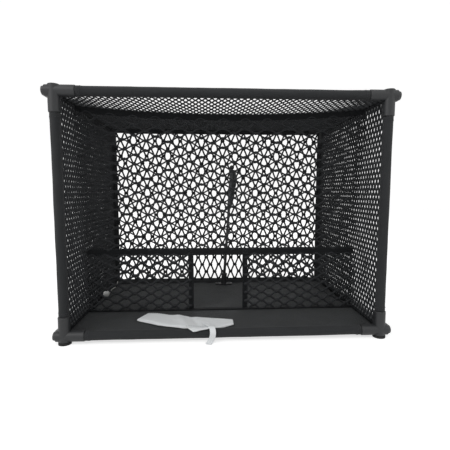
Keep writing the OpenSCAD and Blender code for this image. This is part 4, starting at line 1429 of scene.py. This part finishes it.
class CHIPNET_OT_landing_pad(bpy.types.Operator):
    """Make the white landing pad, its flap over the front tube and the strap that ties it"""
    bl_idname = "chipnet.landing_pad"
    bl_label = "Landing Pad"

    # Edges of the pad seen from above, in millimetres: (x, distance behind the front tube)
    BACK_EDGE = [(-183, 66), (-164, 101), (-140, 97), (-84, 82), (-20, 66), (18, 57)]
    FRONT_EDGE = [
        (-183, 66), (-176, 60), (-153, 47), (-135, 36), (-116, 29), (-100, 24), (-84, 18), (-76, 11),
        (-22, 11), (0, 20), (18, 32),
    ]
    # Lower edge of the flap: (x in millimetres, degrees round the tube from behind over the top)
    FLAP_EDGE = [
        (-76, 78), (-72, 100), (-68, 118), (-62, 140), (-56, 138), (-50, 130), (-40, 120), (-30, 104),
        (-22, 85),
    ]
    FLAP_T = 0.0012
    SEAM_BACK = 0.0165
    # A distance behind the front tube
    ANCHOR_BACK = 0.013

    def execute(self, context):
        self.bed()
        self.flap()
        self.tie_strap()
        return {"FINISHED"}

    def along(self, edge, x):
        """The second number of an edge's points, read between them at x."""
        for (x0, y0), (x1, y1) in zip(edge, edge[1:]):
            if x <= x1:
                return y0 + (y1 - y0) * (x - x0) / (x1 - x0)
        return edge[-1][1]

    def crease(self, x, y):
        """Soft folds of the pad's top, in metres: a ridge, then a valley beside the strap."""
        slant = x + 0.35 * y
        ridge = math.exp(-((slant + 68) / 9) ** 2)
        valley = math.exp(-((slant + 44) / 6) ** 2)
        lobe = math.exp(-((x + 150) / 22) ** 2)
        return 0.0022 * ridge - 0.0016 * valley + 0.0022 * lobe

    def bed(self):
        """The padded bed on the floor, closed all round, with a row of stitches."""
        floor_z = FLOOR_HIGH.z + SEAM_GAP
        thick = PAD_T
        columns, rows = 130, 30
        x0, x1 = self.BACK_EDGE[0][0] + 0.4, self.BACK_EDGE[-1][0]

        def surface(lower):
            points = []
            for i in range(columns + 1):
                x = x0 + (x1 - x0) * i / columns
                back, front = self.along(self.BACK_EDGE, x), self.along(self.FRONT_EDGE, x)
                for j in range(rows + 1):
                    y = front + (back - front) * j / rows
                    rim = min(1.0, 0.16 * min(x - x0 + 0.6, x1 - x + 0.6, y - front, back - y))
                    crown = math.sin(max(0.0, rim) * math.pi / 2) ** 0.55
                    ripple = noise.noise(Vector((x * 0.06, y * 0.11, 2.0)))
                    fine = noise.noise(Vector((x * 0.22, y * 0.3, 7.0)))
                    if lower:
                        z = floor_z + thick * 0.34 * (1 - crown)
                    else:
                        z = floor_z + thick * (0.62 + 0.38 * crown) - 0.0008 * (1 - crown)
                        z += crown * (self.crease(x, y) + 0.0007 * ripple + 0.00025 * fine)
                    points.append(Vector((x * MM, FRONT_Y + y * MM, z)))
            return points

        top, bottom = surface(False), surface(True)
        vertices = top + bottom
        faces, uvs = [], []

        def corner(i, j, lower):
            return (len(top) if lower else 0) + i * (rows + 1) + j

        for lower in (False, True):
            for i in range(columns):
                for j in range(rows):
                    quad = [corner(i, j, lower), corner(i + 1, j, lower),
                            corner(i + 1, j + 1, lower), corner(i, j + 1, lower)]
                    if lower:
                        quad.reverse()
                    faces.append(tuple(quad))
                    uvs += [(vertices[q].x, vertices[q].y) for q in quad]
        border = [(i, 0) for i in range(columns)] + [(columns, j) for j in range(rows)]
        border += [(i, rows) for i in range(columns, 0, -1)] + [(0, j) for j in range(rows, 0, -1)]
        for (i, j), (k, m) in zip(border, border[1:] + border[:1]):
            quad = (corner(i, j, False), corner(i, j, True), corner(k, m, True), corner(k, m, False))
            faces.append(quad)
            uvs += [(vertices[q].x, vertices[q].y + vertices[q].z) for q in quad]
        piece = mesh_object("landing_pad_cloth", vertices, faces, uvs, sharp=math.radians(60))
        face_outwards(piece, MERGE)
        dress(piece, "white_cloth", "front_frame", ["landing_pad"])
        self.gather_to_tube(piece)
        line = []
        for x in range(int(x0) + 8, int(x1) - 1, 2):
            y = self.along(self.BACK_EDGE, x) - 4.5
            line.append(Vector((x * MM, FRONT_Y + y * MM, floor_z + thick + 0.0001 + self.crease(x, y))))
        stitches = stitch_lines(
            "landing_pad_stitches", [line], 0.0045, 0.003, 0.0009, "white_thread")
        dress(stitches, "white_thread", "front_frame")
        self.gather_to_tube(stitches)

    def gather_to_tube(self, piece):
        """Gives a piece of the pad its own copy of its mesh."""
        gather(piece)

    def flap_point(self, x, share, lift=0.0):
        """A point of the flap: share runs from its seam on the pad to its free edge."""
        top_z = FLOOR_HIGH.z + SEAM_GAP + PAD_T + self.FLAP_T / 2 + 0.0002
        radius = SLEEVE_R + 0.0004 + self.FLAP_T / 2 + lift
        end = math.radians(self.along(self.FLAP_EDGE, x))
        seam = Vector((0, self.SEAM_BACK, top_z - BASE_Z + self.crease(x, 14) * 0.8 + lift))
        meet = math.radians(66)
        bridge_share = 0.3
        if end < meet:
            meet = end - 0.05
        landing = Vector((0, radius * math.cos(meet), radius * math.sin(meet)))
        if share < bridge_share:
            t = share / bridge_share
            pull = landing + Vector((0, math.sin(meet), -math.cos(meet))) * 0.006
            point = seam * (1 - t) ** 2 + pull * (2 * t * (1 - t)) + landing * t * t
        else:
            angle = meet + (end - meet) * (share - bridge_share) / (1 - bridge_share)
            point = Vector((0, radius * math.cos(angle), radius * math.sin(angle)))
        return Vector((x * MM, FRONT_Y + point.y, BASE_Z + point.z))

    def flap(self):
        """The flap that hangs over the front tube, with its seam and its bound edge."""
        columns, rows = 150, 36
        x0, x1 = self.FLAP_EDGE[0][0], self.FLAP_EDGE[-1][0]

        def place(u, v):
            x = x0 + (x1 - x0) * u
            free = max(0.0, v - 0.45) / 0.55
            fold = noise.noise(Vector((x * 0.07 + v * 1.1, v * 1.6, 5.0)))
            crimp = noise.noise(Vector((x * 0.3, v * 5, 1.0)))
            tail = math.exp(-((x + 56) / 14) ** 2)
            lift = 0.0003 + 0.0006 * (0.5 + fold) + 0.00015 * crimp + 0.0016 * free ** 2 * tail
            lift += 0.0007 * free
            return self.flap_point(x, v, max(0.0, lift))

        piece = grid_surface(
            "landing_pad_flap", columns, rows, place, (0.054, 0.024), self.FLAP_T)
        dress(piece, "white_cloth", "front_frame", ["landing_pad"])
        seam = [
            place(i / columns, 0.06) + Z_AXIS * (self.FLAP_T / 2 + 0.0002) for i in range(columns + 1)]
        stitches = stitch_lines("landing_flap_stitches", [seam], 0.0045, 0.003, 0.0009, "white_thread")
        dress(stitches, "white_thread", "front_frame")
        edge = [place(i / columns, 1.0) for i in range(columns + 1)]
        section = rounded_section(0.0034, 0.0022)
        widths = [(place(i / columns, 1.0) - place(i / columns, 0.97)).normalized()
                  for i in range(columns + 1)]
        binding = sweep_section("landing_flap_binding", edge, widths, section)
        dress(binding, "white_cloth", "front_frame")

    def tie_strap(self):
        """Strap over the pad, round the front tube and down to the ground, where its free end lies."""
        low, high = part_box("pad_strap")
        thick = 0.0014
        width = high.x - low.x
        x = (low.x + high.x) / 2
        radius = FRONT_Y - low.y - thick / 2 + 0.0009
        tail_z = FLOOR_HIGH.z + SEAM_GAP + PAD_T + 0.0016 + thick / 2
        # Route: (sideways, distance behind the tube, height), then round the tube and down
        route = [
            (-0.009, high.y - FRONT_Y, tail_z + 0.0006), (-0.007, 0.022, tail_z + 0.0012),
            (-0.004, 0.0165, tail_z + 0.0018),
        ]
        path = [Vector((x + dx, FRONT_Y + y, z)) for dx, y, z in route]
        for i in range(12):
            share = i / 11
            angle = math.radians(62 + 118 * share)
            shift = -0.002 + 0.006 * math.sin(share * math.pi * 0.62)
            path.append(Vector((
                x + shift, FRONT_Y + radius * math.cos(angle), BASE_Z + radius * math.sin(angle))))
        hang = [(0.0025, -0.0002, 0.0105), (0.0005, -0.0004, 0.0065), (-0.0018, -0.0012, 0.0032),
                (-0.0034, -0.0035, 0.0016), (-0.0048, -0.0068, 0.0012)]
        path += [Vector((x + dx, FRONT_Y - radius + dy, z)) for dx, dy, z in hang]
        piece = strap("pad_strap_webbing", smooth_path(path, 4), X_AXIS, width - 0.0005, thick)
        dress(piece, "white_webbing", "front_frame", ["pad_strap"])


class CHIPNET_PT_panel(bpy.types.Panel):
    """Sizes, colours and the steps that build the chipping net"""
    bl_idname = "CHIPNET_PT_panel"
    bl_label = "Chipping Net"
    bl_space_type = "VIEW_3D"
    bl_region_type = "UI"
    bl_category = "Chipping Net"

    def draw(self, context):
        layout = self.layout
        for settings in (context.scene.chipnet_netting, context.scene.chipnet_colours):
            box = layout.box()
            for name in settings.bl_rna.properties.keys():
                if name not in ("rna_type", "name"):
                    box.prop(settings, name)
        for operator in OPERATORS:
            layout.operator(operator.bl_idname)


OPERATORS = (
    CHIPNET_OT_camera, CHIPNET_OT_ball_tie, CHIPNET_OT_stage, CHIPNET_OT_hardware,
    CHIPNET_OT_sleeves, CHIPNET_OT_back_net, CHIPNET_OT_side_nets, CHIPNET_OT_target_net,
    CHIPNET_OT_floor_cloth, CHIPNET_OT_flag, CHIPNET_OT_landing_pad,
)
SETTINGS = {"chipnet_netting": NettingSettings, "chipnet_colours": ColourSettings}


def register():
    for cls in (*SETTINGS.values(), *OPERATORS, CHIPNET_PT_panel):
        bpy.utils.register_class(cls)
    for name, cls in SETTINGS.items():
        setattr(bpy.types.Scene, name, PointerProperty(type=cls))


def unregister():
    for name in SETTINGS:
        delattr(bpy.types.Scene, name)
    for cls in reversed((*SETTINGS.values(), *OPERATORS, CHIPNET_PT_panel)):
        bpy.utils.unregister_class(cls)


def main():
    register()
    scene = bpy.context.scene
    scene.view_settings.view_transform = "Standard"
    make_materials()
    TREES["netting"] = netting_tree()
    TREES["stitches"] = stitch_tree()
    for operator in OPERATORS:
        group, name = operator.bl_idname.split(".")
        getattr(getattr(bpy.ops, group), name)()


if __name__ == "__main__":
    main()
